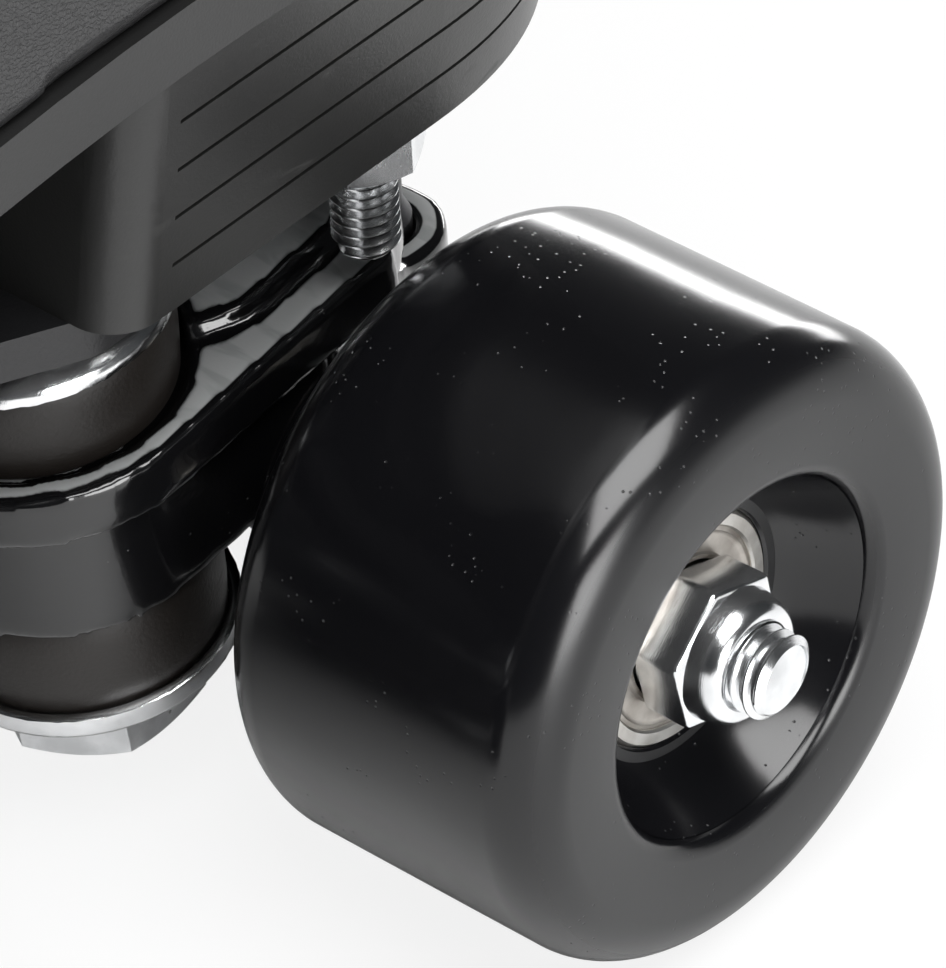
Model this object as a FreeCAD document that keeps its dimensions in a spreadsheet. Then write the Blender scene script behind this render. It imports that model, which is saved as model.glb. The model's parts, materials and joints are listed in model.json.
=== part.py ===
"""Quad roller skate, left of a pair: boot, base plate, two sprung trucks, four wheels, toe stop.

+X points to the toe, +Y to the outer side of the foot, +Z up; the ground is z = 0 and the origin
lies under the middle of the whole skate.  Millimetres.
"""
import FreeCAD, Part
import Sketcher
import math
import os
import re
from FreeCAD import Placement, Rotation, Vector

SIZES = [
    ("boot_length", 270, "back of the heel to the tip of the toe"),
    ("ball_width", 94, "widest part of the sole"),
    ("heel_width", 64, "sole at the heel"),
    ("collar_height", 250, "top of the collar above the ground"),
    ("upper_wall", 3, "leather and lining"),
    ("lasting_board", 2, "stiff board closing the upper underneath"),
    ("insole_thickness", 4, "removable foot bed"),
    ("outsole_thickness", 6, "sole layer between upper and plate"),
    ("soft_gap", 0.3, "air between soft pieces"),
    ("glue_line", 0.05, "between the upper and the outsole"),
    ("collar_dip", 12, "how far the collar dips at the ankle"),
    ("collar_curve", 90, "radius of the dip"),
    ("tongue_rise", 12, "tongue above the collar"),
    ("padding_depth", 6, "collar padding"),
    ("tongue_depth", 5, "padded tongue"),
    ("throat_width", 28, "gap that the tongue fills"),
    ("throat_start", 132, "height at which the throat begins"),
    ("strap_width", 27, "closing straps"),
    ("strap_depth", 2.6, "closing straps"),
    ("heel_height", 25, "stacked heel block"),
    ("heel_length", 69, "heel block at its foot"),
    ("heel_foot_width", 56.8, "heel block at its foot"),
    ("heel_overhang", 33, "rear axle to the back of the boot"),
    ("heel_layers", 5, "layers marked by fine grooves"),
    ("layer_groove", 0.4, "width and depth of each groove"),
    ("shank_start", 18, "level sole ahead of the heel"),
    ("wheel_base", 150, "axle to axle"),
    ("wheel_diameter", 58, "tread"),
    ("wheel_width", 35.2, "face to face"),
    ("wheel_shoulder", 5.5, "rounding from tread to face"),
    ("wheel_track", 84, "between the wheels' middle planes"),
    ("lip_radius", 17, "edge of the dished recess"),
    ("dish_radius", 12.2, "foot of the dished recess"),
    ("lip_round", 1.4, "rounding of the recess edge"),
    ("bearing_outer", 22, "bearing"),
    ("bearing_bore", 8, "bearing"),
    ("bearing_width", 7, "bearing"),
    ("ring_inner", 12, "outside of the inner ring"),
    ("ring_outer", 18.4, "inside of the outer ring"),
    ("race_depth", 0.45, "depth of the ball tracks"),
    ("shield_gap", 0.25, "shield to inner ring"),
    ("ball_diameter", 3.97, "bearing balls"),
    ("ball_count", 7, "balls in one bearing"),
    ("bearing_spacer", 6, "between the two bearings of a wheel"),
    ("spacer_diameter", 11, "spacer tube"),
    ("seat_gap", 0.02, "shafts in their seats"),
    ("axle_nut_width", 13, "across flats"),
    ("axle_nut_height", 6.4, "hexagonal part"),
    ("nut_collar", 1.6, "round collar that holds the locking ring"),
    ("axle_end", 2.6, "thread that stands out of the nut"),
    ("kingpin_reach", 20.8, "axle to kingpin at axle height"),
    ("kingpin_tilt", 6.9, "lean of the kingpin, degrees"),
    ("kingpin_diameter", 10, "kingpin bolt"),
    ("kingpin_nut_width", 17, "across flats"),
    ("kingpin_nut_height", 7.2, "kingpin nut"),
    ("kingpin_clearance", 2.5, "hanger eye to kingpin, radial"),
    ("eye_radius", 16.3, "flange round the hanger eye"),
    ("web_radius", 13.8, "boss under the flange"),
    ("eye_bottom", -2, "along the kingpin from axle height"),
    ("eye_top", 16.8, "along the kingpin from axle height"),
    ("flange_thickness", 5.5, "flange of the hanger"),
    ("cushion_seat", 1, "recess that holds a cushion"),
    ("cushion_diameter", 25.6, "rubber cushion"),
    ("cushion_hole", 11, "rubber cushion"),
    ("upper_cushion", 12.2, "free height above the hanger's recess"),
    ("lower_cushion", 11.7, "free height below the hanger's recess"),
    ("cup_diameter", 28, "cupped washer"),
    ("cup_thickness", 1.2, "cupped washer"),
    ("cup_rim", 1.5, "height of the lower washer's rim above its floor"),
    ("dome_drop", 2.4, "how far the upper washer falls to its lip"),
    ("dome_crown", 9.6, "radius of the upper washer's flat crown"),
    ("boss_face", 9.4, "radius of the plate's boss on the washer"),
    ("housing_radius", 10.5, "axle housing at the middle"),
    ("housing_end_radius", 8, "axle housing beside the wheels"),
    ("platform_rise", 1.7, "oval pad over the axle"),
    ("platform_radius", 11.5, "oval pad over the axle"),
    ("pivot_reach", 19.5, "axle to pivot pin"),
    ("pivot_boss_radius", 7, "end of the pivot arm"),
    ("pivot_boss_top", 7.2, "above the axle"),
    ("pivot_boss_height", 8, "end of the pivot arm"),
    ("pivot_pin_diameter", 8, "threaded pin"),
    ("pivot_ball_diameter", 10.6, "ball end"),
    ("pivot_height", 31, "ball centre above the axle"),
    ("pivot_cup_radius", 7.6, "cup pressed into the plate"),
    ("pivot_gap", 0.08, "ball in its cup, radial"),
    ("plate_thickness", 4, "flange of the base plate"),
    ("plate_width", 48, "base plate under the heel"),
    ("plate_front_width", 58, "base plate under the ball"),
    ("plate_waist", 30, "base plate between the trucks"),
    ("spine_height", 8, "rib under the plate"),
    ("stud_diameter", 6, "mounting bolts"),
    ("stud_spread", 34, "between the rear studs"),
    ("stud_offset", 1.3, "rear studs behind the rear axle"),
    ("stud_thread", 9.8, "thread that stands out of the nut"),
    ("front_spread", 42, "between the front bolts"),
    ("front_rows", 70, "between the two rows of front bolts"),
    ("stud_nut_width", 10, "across flats"),
    ("stud_nut_height", 4.6, "mounting nut"),
    ("stud_washer", 12.6, "mounting washer"),
    ("stud_washer_thickness", 1.2, "mounting washer"),
    ("hole_gap", 0.1, "bolt in its hole, radial"),
    ("shank_relief", 0.05, "bolt above its thread, less in radius"),
    ("plate_height", 43, "axle centre to the plate's top"),
    ("kingpin_head", 6, "height of the kingpin's head"),
    ("head_gap", 1.4, "kingpin's head below the plate's top"),
    ("stopper_reach", 50, "front axle to toe stop, at the plate"),
    ("stopper_tilt", 12, "lean of the toe stop, degrees"),
    ("stopper_stem", 15.9, "toe stop stem"),
    ("stopper_diameter", 46, "rubber pad"),
    ("stopper_height", 24, "rubber pad"),
    ("stopper_drop", 53, "plate's top to the pad's face"),
    ("stopper_boss", 16, "height of the threaded boss"),
    ("stopper_nut_width", 24, "across flats"),
    ("stopper_nut_height", 5, "lock nut"),
    ("screw_gap", 0.08, "stem in its boss, radial"),
]

doc = FreeCAD.newDocument("quad_roller_skate")
sizes = doc.addObject("Spreadsheet::Sheet", "sizes")
for row, (alias, amount, meaning) in enumerate(SIZES, start=1):
    sizes.set(f"A{row}", meaning)
    sizes.set(f"B{row}", str(amount))
    sizes.setAlias(f"B{row}", alias)
doc.recompute()

kept = {}


# ---------------------------------------------------------------- expressions and placement

def bound(text):
    """An expression in which every alias is read from the sheet (each alias has an underscore)."""
    return re.sub(r"[a-z]+(?:_[a-z]+)+", lambda word: "sizes." + word.group(), str(text))


def value(text):
    """The number that an expression gives now."""
    return float(sizes.evalExpression(bound(text)))


def bind(thing, path, text):
    thing.setExpression(path, bound(text))


def place(thing, x="0", y="0", z="0", rotation=None):
    """Puts a thing at a bound position, turned by a fixed rotation."""
    thing.Placement = Placement(Vector(0, 0, 0), rotation or Rotation())
    for path, text in (("x", x), ("y", y), ("z", z)):
        bind(thing, ".Placement.Base." + path, text)
    return thing


def keep(node, thing):
    """Makes a thing a node of the finished skate."""
    thing.Label = node
    kept[node] = thing
    return thing


# Heights and stations that several pieces share
AXLE_HEIGHT = "wheel_diameter / 2"
PLATE_TOP = "wheel_diameter / 2 + plate_height"
PLATE_BOTTOM = PLATE_TOP + " - plate_thickness"
REAR_AXLE = "heel_overhang - boot_length / 2"
FRONT_AXLE = REAR_AXLE + " + wheel_base"
HEEL_TOP = PLATE_TOP + " + heel_height"
TO_SIDE = Rotation(Vector(1, 0, 0), -90)
TRUCKS = {"rear": (REAR_AXLE, 1), "front": (FRONT_AXLE, -1)}
SIDES = {"left": 1, "right": -1}


# ---------------------------------------------------------------- part design helpers

def new_body(name):
    return doc.addObject("PartDesign::Body", name)


def sketch(body, role, name, lift=None):
    """A sketch on one of the body's own origin planes, lifted along the plane's normal."""
    plane = next(item for item in body.Origin.OriginFeatures if item.Role == role)
    drawing = body.newObject("Sketcher::SketchObject", name)
    drawing.AttachmentSupport = [(plane, "")]
    drawing.MapMode = "FlatFace"
    if lift is not None:
        bind(drawing, ".AttachmentOffset.Base.z", lift)
    return drawing


def pin_point(drawing, index, point, x, y):
    """Ties one point of the sketch to a bound position."""
    for kind, text in (("DistanceX", x), ("DistanceY", y)):
        number = drawing.addConstraint(Sketcher.Constraint(kind, -1, 1, index, point, value(text)))
        bind(drawing, f"Constraints[{number}]", text)


def draw_outline(drawing, corners):
    """A closed outline of straight edges through bound corners."""
    points = [Vector(value(x), value(y), 0) for x, y in corners]
    first = drawing.GeometryCount
    count = len(points)
    for index in range(count):
        drawing.addGeometry(Part.LineSegment(points[index], points[(index + 1) % count]))
    for index in range(count):
        following = first + (index + 1) % count
        drawing.addConstraint(Sketcher.Constraint("Coincident", first + index, 2, following, 1))
    for index, (x, y) in enumerate(corners):
        pin_point(drawing, first + index, 1, x, y)


def draw_circle(drawing, x, y, radius):
    index = drawing.addGeometry(Part.Circle(Vector(value(x), value(y), 0), Vector(0, 0, 1), value(radius)))
    pin_point(drawing, index, 3, x, y)
    number = drawing.addConstraint(Sketcher.Constraint("Radius", index, value(radius)))
    bind(drawing, f"Constraints[{number}]", radius)


def revolve(body, name, corners, cut=False):
    """Turns an outline of (radius, height) corners about the body's Z axis."""
    drawing = sketch(body, "XZ_Plane", name + "_outline")
    draw_outline(drawing, corners)
    turned = body.newObject("PartDesign::Groove" if cut else "PartDesign::Revolution", name)
    turned.Profile = drawing
    turned.ReferenceAxis = (drawing, ["V_Axis"])
    turned.Angle = 360
    return turned


def pad(body, name, length, corners=None, circles=(), lift=None):
    """Raises an outline, with round holes in it, along Z."""
    drawing = sketch(body, "XY_Plane", name + "_outline", lift)
    if corners:
        draw_outline(drawing, corners)
    for circle in circles:
        draw_circle(drawing, *circle)
    raised = body.newObject("PartDesign::Pad", name)
    raised.Profile = drawing
    bind(raised, "Length", length)
    return raised


def round_edges(body, name, base, radius, wanted):
    """Rounds the edges of a feature that a test picks out."""
    doc.recompute()
    picked = [f"Edge{number}" for number, edge in enumerate(base.Shape.Edges, start=1) if wanted(edge)]
    rounded = body.newObject("PartDesign::Fillet", name)
    rounded.Base = (base, picked)
    bind(rounded, "Radius", radius)
    return rounded


def is_circle(edge, radius):
    return isinstance(edge.Curve, Part.Circle) and abs(edge.Curve.Radius - value(radius)) < 1e-4


def hexagon(across_flats):
    """Corners of a regular hexagon with its flats facing X."""
    reach = f"({across_flats}) / sqrt(3)"
    return [(f"{reach} * {round(math.sin(math.radians(60 * turn)), 6)}",
             f"{reach} * {round(math.cos(math.radians(60 * turn)), 6)}") for turn in range(6)]


def hex_nut(name, across_flats, height, bore, collar="0", collar_radius=None):
    """A nut on the body's Z axis: chamfered hexagon, then a round collar, then the bore."""
    body = new_body(name)
    pad(body, name + "_hexagon", height, hexagon(across_flats), [("0", "0", bore)])
    flat = f"({across_flats}) / 2"
    for side, base, far in (("top", height, f"{height} - 2"), ("foot", "0", "2")):
        revolve(body, f"{name}_{side}_chamfer",
                [(flat, base), (flat + " + 3.5", base), (flat + " + 3.5", far)], cut=True)
    if collar_radius:
        inner = f"{bore}"
        revolve(body, name + "_collar", [
            (inner, f"{height} - 0.5"), (collar_radius, f"{height} - 0.5"),
            (collar_radius, f"{height} + {collar} - 0.6"),
            (f"{collar_radius} - 0.6", f"{height} + {collar}"), (inner, f"{height} + {collar}")])
    return body


# ---------------------------------------------------------------- primitive helpers

def solid(kind, name, **sizes_of):
    thing = doc.addObject("Part::" + kind, name)
    for path, text in sizes_of.items():
        bind(thing, path, text)
    return thing


def block(name, low, high):
    """A box between two bound corners."""
    spans = [f"({top}) - ({bottom})" for bottom, top in zip(low, high)]
    thing = solid("Box", name, Length=spans[0], Width=spans[1], Height=spans[2])
    return place(thing, *low)


def rod(name, radius, height, x="0", y="0", z="0", rotation=None):
    return place(solid("Cylinder", name, Radius=radius, Height=height), x, y, z, rotation)


def joined(name, things):
    thing = doc.addObject("Part::MultiFuse", name)
    thing.Shapes = things
    thing.Refine = True
    return thing


def carved(name, base, tools):
    """Cuts several tools out of a base."""
    thing = doc.addObject("Part::Cut", name)
    thing.Base = base
    thing.Tool = joined(name + "_tools", tools) if len(tools) > 1 else tools[0]
    thing.Refine = True
    return thing


def group(name, things):
    """Several equal pieces in one node."""
    thing = doc.addObject("Part::Compound", name)
    thing.Links = things
    return thing


# ---------------------------------------------------------------- wheels and bearings

HUB_HALF = "(bearing_spacer / 2 + bearing_width)"
BEARING_RADIUS = "bearing_outer / 2"
SHAFT_RADIUS = "(bearing_bore / 2 - seat_gap)"


def wheel(name):
    """Urethane wheel on its Z axis: dished faces, two bearing seats and the rib between them."""
    body = new_body(name)
    half = "wheel_width / 2"
    tread = "wheel_diameter / 2"
    rib = "ring_outer / 2"
    upper = [(rib, "bearing_spacer / 2"), (BEARING_RADIUS, "bearing_spacer / 2"),
             (BEARING_RADIUS, HUB_HALF), ("dish_radius", HUB_HALF),
             ("lip_radius", half + " - 0.8"), ("lip_radius + 1.4", half), (tread, half)]
    lower = [(x, f"0 - ({z})") for x, z in reversed(upper)]
    turned = revolve(body, name + "_turned", upper + lower)
    shoulders = round_edges(body, name + "_shoulders", turned, "wheel_shoulder",
                            lambda edge: is_circle(edge, tread))
    round_edges(body, name + "_lips", shoulders, "lip_round",
                lambda edge: is_circle(edge, "lip_radius"))
    return body


def ring_outline(inner, outer, track, sign):
    """Half section of a bearing ring with its ball track."""
    half = "bearing_width / 2"
    face = [(track, f"0 - {half}"), (track, "0 - ball_diameter * 0.42"),
            (f"{track} {sign} race_depth", "0 - ball_diameter * 0.2"),
            (f"{track} {sign} race_depth", "ball_diameter * 0.2"),
            (track, "ball_diameter * 0.42"), (track, half)]
    wall = inner if sign == "-" else outer
    return face + [(wall, half), (wall, f"0 - {half}")]


def bearing_outer_ring(name):
    """Outer ring and its two pressed-in shields, which turn with the wheel."""
    body = new_body(name)
    seat = BEARING_RADIUS + " - seat_gap"
    revolve(body, name + "_ring", ring_outline(None, seat, "ring_outer / 2", "+"))
    for side, sign in SIDES.items():
        near, far = "bearing_width / 2 - 0.6", "bearing_width / 2 - 0.2"
        if sign < 0:
            near, far = f"0 - ({near})", f"0 - ({far})"
        inner = "ring_inner / 2 + shield_gap"
        outer = "ring_outer / 2 + 0.2"
        revolve(body, f"{name}_{side}_shield", [(inner, near), (outer, near), (outer, far), (inner, far)])
    return body


def bearing_inner_ring(name):
    body = new_body(name)
    revolve(body, name + "_ring", ring_outline("bearing_bore / 2", None, "ring_inner / 2", "-"))
    return body


def bearing_balls(name, x, middles, z):
    """All the balls of one wheel's two bearings."""
    thing = doc.addObject("Part::Feature", name)
    pitch = value("(ring_inner + ring_outer) / 4")
    count = int(value("ball_count"))
    balls = []
    for middle in middles:
        for number in range(count):
            angle = 2 * math.pi * (number + 0.5) / count
            centre = Vector(value(x) + pitch * math.cos(angle), value(middle),
                            value(z) + pitch * math.sin(angle))
            balls.append(Part.makeSphere(value("ball_diameter / 2"), centre))
    thing.Shape = Part.makeCompound(balls)
    return thing


def make_wheel_set(end, side):
    """Wheel, bearings, spacer and nut on one end of an axle."""
    tag = f"{end}_{side}"
    x = TRUCKS[end][0]
    sign = SIDES[side]
    middle = f"{sign} * wheel_track / 2"
    keep(f"wheel_{tag}", place(wheel(f"wheel_{tag}"), x, middle, AXLE_HEIGHT, TO_SIDE))
    offset = "(bearing_spacer + bearing_width) / 2"
    middles = [f"{middle} + {offset}", f"{middle} - {offset}"]
    outers, inners = [], []
    for number, station in enumerate(middles, start=1):
        outer = bearing_outer_ring(f"outer_ring_{tag}_{number}")
        inner = bearing_inner_ring(f"inner_ring_{tag}_{number}")
        outers.append(place(outer, x, station, AXLE_HEIGHT, TO_SIDE))
        inners.append(place(inner, x, station, AXLE_HEIGHT, TO_SIDE))
    keep(f"bearing_outer_rings_{tag}", group(f"outer_rings_{tag}", outers))
    keep(f"bearing_inner_rings_{tag}", group(f"inner_rings_{tag}", inners))
    keep(f"bearing_balls_{tag}", bearing_balls(f"balls_{tag}", x, middles, AXLE_HEIGHT))
    spacer = new_body(f"spacer_{tag}")
    half = "bearing_spacer / 2"
    revolve(spacer, f"spacer_{tag}_tube", [
        ("bearing_bore / 2", f"0 - {half}"), ("spacer_diameter / 2", f"0 - {half}"),
        ("spacer_diameter / 2", half), ("bearing_bore / 2", half)])
    keep(f"bearing_spacer_{tag}", place(spacer, x, middle, AXLE_HEIGHT, TO_SIDE))
    nut = hex_nut(f"axle_nut_{tag}", "axle_nut_width", "axle_nut_height", "bearing_bore / 2",
                  "nut_collar", "axle_nut_width / 2 - 0.7")
    face = f"{middle} + {sign} * {HUB_HALF}"
    turn = Rotation(Vector(1, 0, 0), -90 * sign)
    keep(f"axle_nut_{tag}", place(nut, x, face, AXLE_HEIGHT, turn))


# ---------------------------------------------------------------- trucks

def truck_turn(direction):
    """The front truck is the rear one turned about: its kingpin faces the other."""
    return Rotation(Vector(0, 0, 1), 0 if direction > 0 else 180)


def kingpin_frame(thing, end, along="0", spin=0):
    """Puts a piece on the kingpin, a distance up its axis from axle height, spun about it."""
    x, direction = TRUCKS[end]
    lean = Rotation(Vector(0, 1, 0), direction * value("kingpin_tilt"))
    lean = lean.multiply(Rotation(Vector(0, 0, 1), spin))
    reach = f"{x} + {direction} * (kingpin_reach + ({along}) * sin(kingpin_tilt))"
    return place(thing, reach, "0", f"{AXLE_HEIGHT} + ({along}) * cos(kingpin_tilt)", lean)


UPPER_CUSHION_TOP = "(eye_top - cushion_seat + upper_cushion)"
LOWER_CUSHION_FOOT = "(eye_bottom + cushion_seat - lower_cushion)"
PIN_RADIUS = "(kingpin_diameter / 2 - seat_gap)"
KINGPIN_HEAD = "(plate_height - kingpin_head - head_gap)"


def cushion(name, height, sign, shoulder="0"):
    """Rubber cushion from the hanger's recess outwards, barrelled by its preload; its far edge
    slopes back by the shoulder to lie in a domed washer."""
    body = new_body(name)
    inner = "cushion_hole / 2"
    outer = "cushion_diameter / 2"
    crown = "dome_crown - 1" if shoulder != "0" else outer + " - 0.5"
    gap = "0.05"
    profile = [(inner, gap), (outer + " - 0.5", gap), (outer, "0.8"), (outer + " + 0.35", f"{height} / 2"),
               (outer, f"{height} - {shoulder} - 0.8"), (crown, f"{height} - {gap}"),
               (inner, f"{height} - {gap}")]
    revolve(body, name + "_turned", [(x, f"{sign} * ({z})") for x, z in profile])
    return body


def cup_washer(name):
    """Cupped washer under the lower cushion: its floor hangs from zero, its rim stands over it."""
    body = new_body(name)
    outer = "cup_diameter / 2"
    rim = outer + " - 0.9"
    revolve(body, name + "_pressed", [
        ("kingpin_diameter / 2", "0"), (rim, "0"), (rim, "cup_rim"), (outer, "cup_rim"),
        (outer, "0.8 - cup_thickness"), (outer + " - 0.8", "0 - cup_thickness"),
        ("kingpin_diameter / 2", "0 - cup_thickness")])
    return body


def domed_washer(name):
    """Domed washer on the upper cushion: its crown lies on zero and its sides fall to a thin lip."""
    body = new_body(name)
    outer = "cup_diameter / 2"
    revolve(body, name + "_pressed", [
        ("kingpin_diameter / 2", "0"), ("dome_crown - 0.4", "0"), (outer + " - 0.9", "0 - dome_drop + 0.5"),
        (outer + " - 0.9", "0 - dome_drop"), (outer, "0 - dome_drop"), (outer, "1 - dome_drop"),
        ("dome_crown", "cup_thickness"), ("kingpin_diameter / 2", "cup_thickness")])
    return body


def hanger(end):
    """Cast truck hanger: kingpin eye with its flange, axle housing, pad and pivot arm."""
    tag = f"hanger_{end}"
    lean = Rotation(Vector(0, 1, 0), value("kingpin_tilt"))

    def on_kingpin(thing, along, back="0"):
        return place(thing, f"kingpin_reach + ({along}) * sin(kingpin_tilt) - ({back}) * cos(kingpin_tilt)",
                     "0", f"({along}) * cos(kingpin_tilt) + ({back}) * sin(kingpin_tilt)", lean)

    def slab(name, half_width, low, high, back):
        thing = solid("Box", name, Length=back, Width=f"2 * ({half_width})", Height=f"({high}) - ({low})")
        on_kingpin(thing, low, back)
        bind(thing, ".Placement.Base.y", f"0 - ({half_width})")
        return thing

    flange_low = "eye_top - flange_thickness"
    eye = on_kingpin(solid("Cylinder", tag + "_eye", Radius="web_radius",
                           Height="eye_top - eye_bottom - 1"), "eye_bottom")
    ring = on_kingpin(solid("Cylinder", tag + "_ring", Radius="eye_radius",
                            Height="flange_thickness"), flange_low)
    flange = slab(tag + "_flange", "eye_radius", flange_low, "eye_top", "kingpin_reach + 8")
    web = slab(tag + "_web", "web_radius", "eye_bottom", flange_low + " + 1", "kingpin_reach + 4")
    tail = on_kingpin(solid("Cylinder", tag + "_tail", Radius="eye_radius", Height="flange_thickness"),
                      flange_low, "kingpin_reach + 2")
    body = new_body(tag + "_housing")
    end_face = f"wheel_track / 2 - {HUB_HALF}"
    half = [("housing_radius", "8"), ("housing_end_radius + 0.6", "wheel_track / 2 - wheel_width / 2 - 3"),
            ("housing_end_radius", "wheel_track / 2 - wheel_width / 2"),
            ("housing_end_radius - 1", f"{end_face} - 1.6"), ("ring_inner / 2 - 0.2", f"{end_face} - 0.6"),
            ("ring_inner / 2 - 0.2", end_face)]
    corners = [("0", f"0 - ({end_face})")] + [(x, f"0 - ({z})") for x, z in reversed(half)] + half
    revolve(body, tag + "_housing_turned", corners + [("0", end_face)])
    place(body, rotation=TO_SIDE)
    pads = [on_kingpin(solid("Cylinder", f"{tag}_pad_{number}", Radius="platform_radius",
                             Height="flange_thickness + platform_rise"), flange_low, back)
            for number, back in enumerate(("kingpin_reach - 3", "kingpin_reach + 3"), start=1)]
    low = "pivot_boss_top - pivot_boss_height"
    arm = solid("Wedge", tag + "_arm", Xmin="1 - eye_radius", Xmax="eye_radius - 1", Zmin="2",
                Zmax="eye_top - 1", Ymin="0", Ymax="pivot_reach + 2", X2min="1 - pivot_boss_radius",
                X2max="pivot_boss_radius - 1", Z2min=low + " - 1", Z2max="pivot_boss_top - 1")
    place(arm, "2", rotation=Rotation(Vector(0, 0, 1), 90))
    boss = rod(tag + "_boss", "pivot_boss_radius", "pivot_boss_height", "0 - pivot_reach", "0", low)
    neck = rod(tag + "_neck", "pivot_boss_radius - 1.4", "4", "0 - pivot_reach", "0", low + " - 3")
    whole = joined(tag + "_cast", [eye, ring, flange, web, tail, body, *pads, arm, boss, neck])
    tools = [
        on_kingpin(solid("Cylinder", tag + "_eye_bore", Radius="kingpin_diameter / 2 + kingpin_clearance",
                         Height="eye_top - eye_bottom + 10"), "eye_bottom - 5"),
        on_kingpin(solid("Cylinder", tag + "_upper_seat", Radius="cushion_diameter / 2 + 0.5",
                         Height="cushion_seat + 5"), "eye_top - cushion_seat"),
        on_kingpin(solid("Cylinder", tag + "_lower_seat", Radius="cushion_diameter / 2 + 0.5",
                         Height="cushion_seat + 5"), "eye_bottom - 5"),
        on_kingpin(solid("Cylinder", tag + "_cup_room", Radius="cup_diameter / 2 + 2.5", Height="30"),
                   "eye_bottom - 30"),
        rod(tag + "_axle_bore", "bearing_bore / 2", "wheel_track", "0", "0 - wheel_track / 2", "0", TO_SIDE),
        rod(tag + "_pin_bore", "pivot_pin_diameter / 2", "40", "0 - pivot_reach", "0", "0 - 20"),
    ]
    return carved(tag, whole, tools)


def make_truck(end):
    x, direction = TRUCKS[end]
    turn = truck_turn(direction)
    keep(f"hanger_{end}", place(hanger(end), x, "0", AXLE_HEIGHT, turn))

    axle = new_body(f"axle_{end}_bar")
    tip = f"wheel_track / 2 + {HUB_HALF} + axle_nut_height + nut_collar + axle_end"
    corners = [(f"{SHAFT_RADIUS} - 0.7", tip), (SHAFT_RADIUS, f"{tip} - 0.7")]
    mirrored = [(r, f"0 - ({z})") for r, z in reversed(corners)]
    revolve(axle, f"axle_{end}_turned", [("0", tip)] + corners + mirrored + [("0", f"0 - ({tip})")])
    keep(f"axle_{end}", place(axle, x, "0", AXLE_HEIGHT, TO_SIDE))

    upper = cushion(f"upper_cushion_{end}", "upper_cushion", 1, "dome_drop")
    lower = cushion(f"lower_cushion_{end}", "lower_cushion", -1)
    keep(f"upper_cushion_{end}", kingpin_frame(upper, end, "eye_top - cushion_seat"))
    keep(f"lower_cushion_{end}", kingpin_frame(lower, end, "eye_bottom + cushion_seat"))
    cups = [kingpin_frame(domed_washer(f"upper_cup_{end}"), end, UPPER_CUSHION_TOP),
            kingpin_frame(cup_washer(f"lower_cup_{end}"), end, LOWER_CUSHION_FOOT)]
    keep(f"cup_washers_{end}", group(f"cups_{end}", cups))

    nut = hex_nut(f"kingpin_nut_{end}", "kingpin_nut_width", "kingpin_nut_height", "kingpin_diameter / 2")
    nut_foot = f"{LOWER_CUSHION_FOOT} - cup_thickness - kingpin_nut_height"
    keep(f"kingpin_nut_{end}", kingpin_frame(nut, end, nut_foot, 30))

    bolt = new_body(f"kingpin_{end}_bolt")
    pad(bolt, f"kingpin_{end}_head", "kingpin_head", hexagon("kingpin_nut_width - 1"))
    foot = f"{nut_foot} - 0.8 - ({KINGPIN_HEAD})"
    revolve(bolt, f"kingpin_{end}_shank", [
        ("0", foot), (f"{PIN_RADIUS} - 0.8", foot), (PIN_RADIUS, f"{foot} + 0.8"), (PIN_RADIUS, "1"),
        ("0", "1")])
    keep(f"kingpin_{end}", kingpin_frame(bolt, end, KINGPIN_HEAD))

    pin = new_body(f"pivot_pin_{end}_stud")
    shank = "pivot_pin_diameter / 2 - seat_gap"
    neck = "pivot_pin_diameter / 2 - 0.8"
    foot = "pivot_boss_top - pivot_boss_height - 5 - pivot_height"
    revolve(pin, f"pivot_pin_{end}_turned", [
        ("0", foot), (shank + " - 0.6", foot), (shank, foot + " + 0.6"),
        (shank, "pivot_boss_top - pivot_height + 1"), (neck, "pivot_boss_top - pivot_height + 2.5"),
        (neck, "0 - 1"), ("0", "0 - 1")])
    ball = pin.newObject("PartDesign::AdditiveSphere", f"pivot_ball_{end}")
    bind(ball, "Radius", "pivot_ball_diameter / 2")
    reach = f"{x} - {direction} * pivot_reach"
    keep(f"pivot_pin_{end}", place(pin, reach, "0", f"{AXLE_HEIGHT} + pivot_height"))

    cup_low = "0 - 3"
    cup = rod(f"pivot_cup_{end}_wall", "pivot_cup_radius", "10", "0", "0", cup_low)
    hollow = solid("Sphere", f"pivot_cup_{end}_ball", Radius="pivot_ball_diameter / 2 + pivot_gap")
    mouth = rod(f"pivot_cup_{end}_mouth", "pivot_ball_diameter / 2 + pivot_gap", "10", "0", "0", "0 - 10")
    lined = carved(f"pivot_cup_{end}", cup, [hollow, mouth])
    keep(f"pivot_cup_{end}", place(lined, reach, "0", f"{AXLE_HEIGHT} + pivot_height"))


# ---------------------------------------------------------------- plate and its bolts

REAR_STUDS = [(f"{REAR_AXLE} - stud_offset", f"{sign} * stud_spread / 2") for sign in (1, -1)]
FRONT_BOLTS = [(f"{FRONT_AXLE} + {row} * front_rows / 2", f"{sign} * front_spread / 2")
               for row in (1, -1) for sign in (1, -1)]
STOPPER_X = FRONT_AXLE + " + stopper_reach"


def stopper_frame(thing, along="0"):
    """Puts a piece on the toe stop's axis, a distance down it from the plate's top."""
    turn = Rotation(Vector(0, 1, 0), 180 - value("stopper_tilt"))
    return place(thing, f"{STOPPER_X} + ({along}) * sin(stopper_tilt)", "0",
                 f"{PLATE_TOP} - ({along}) * cos(stopper_tilt)", turn)


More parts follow.
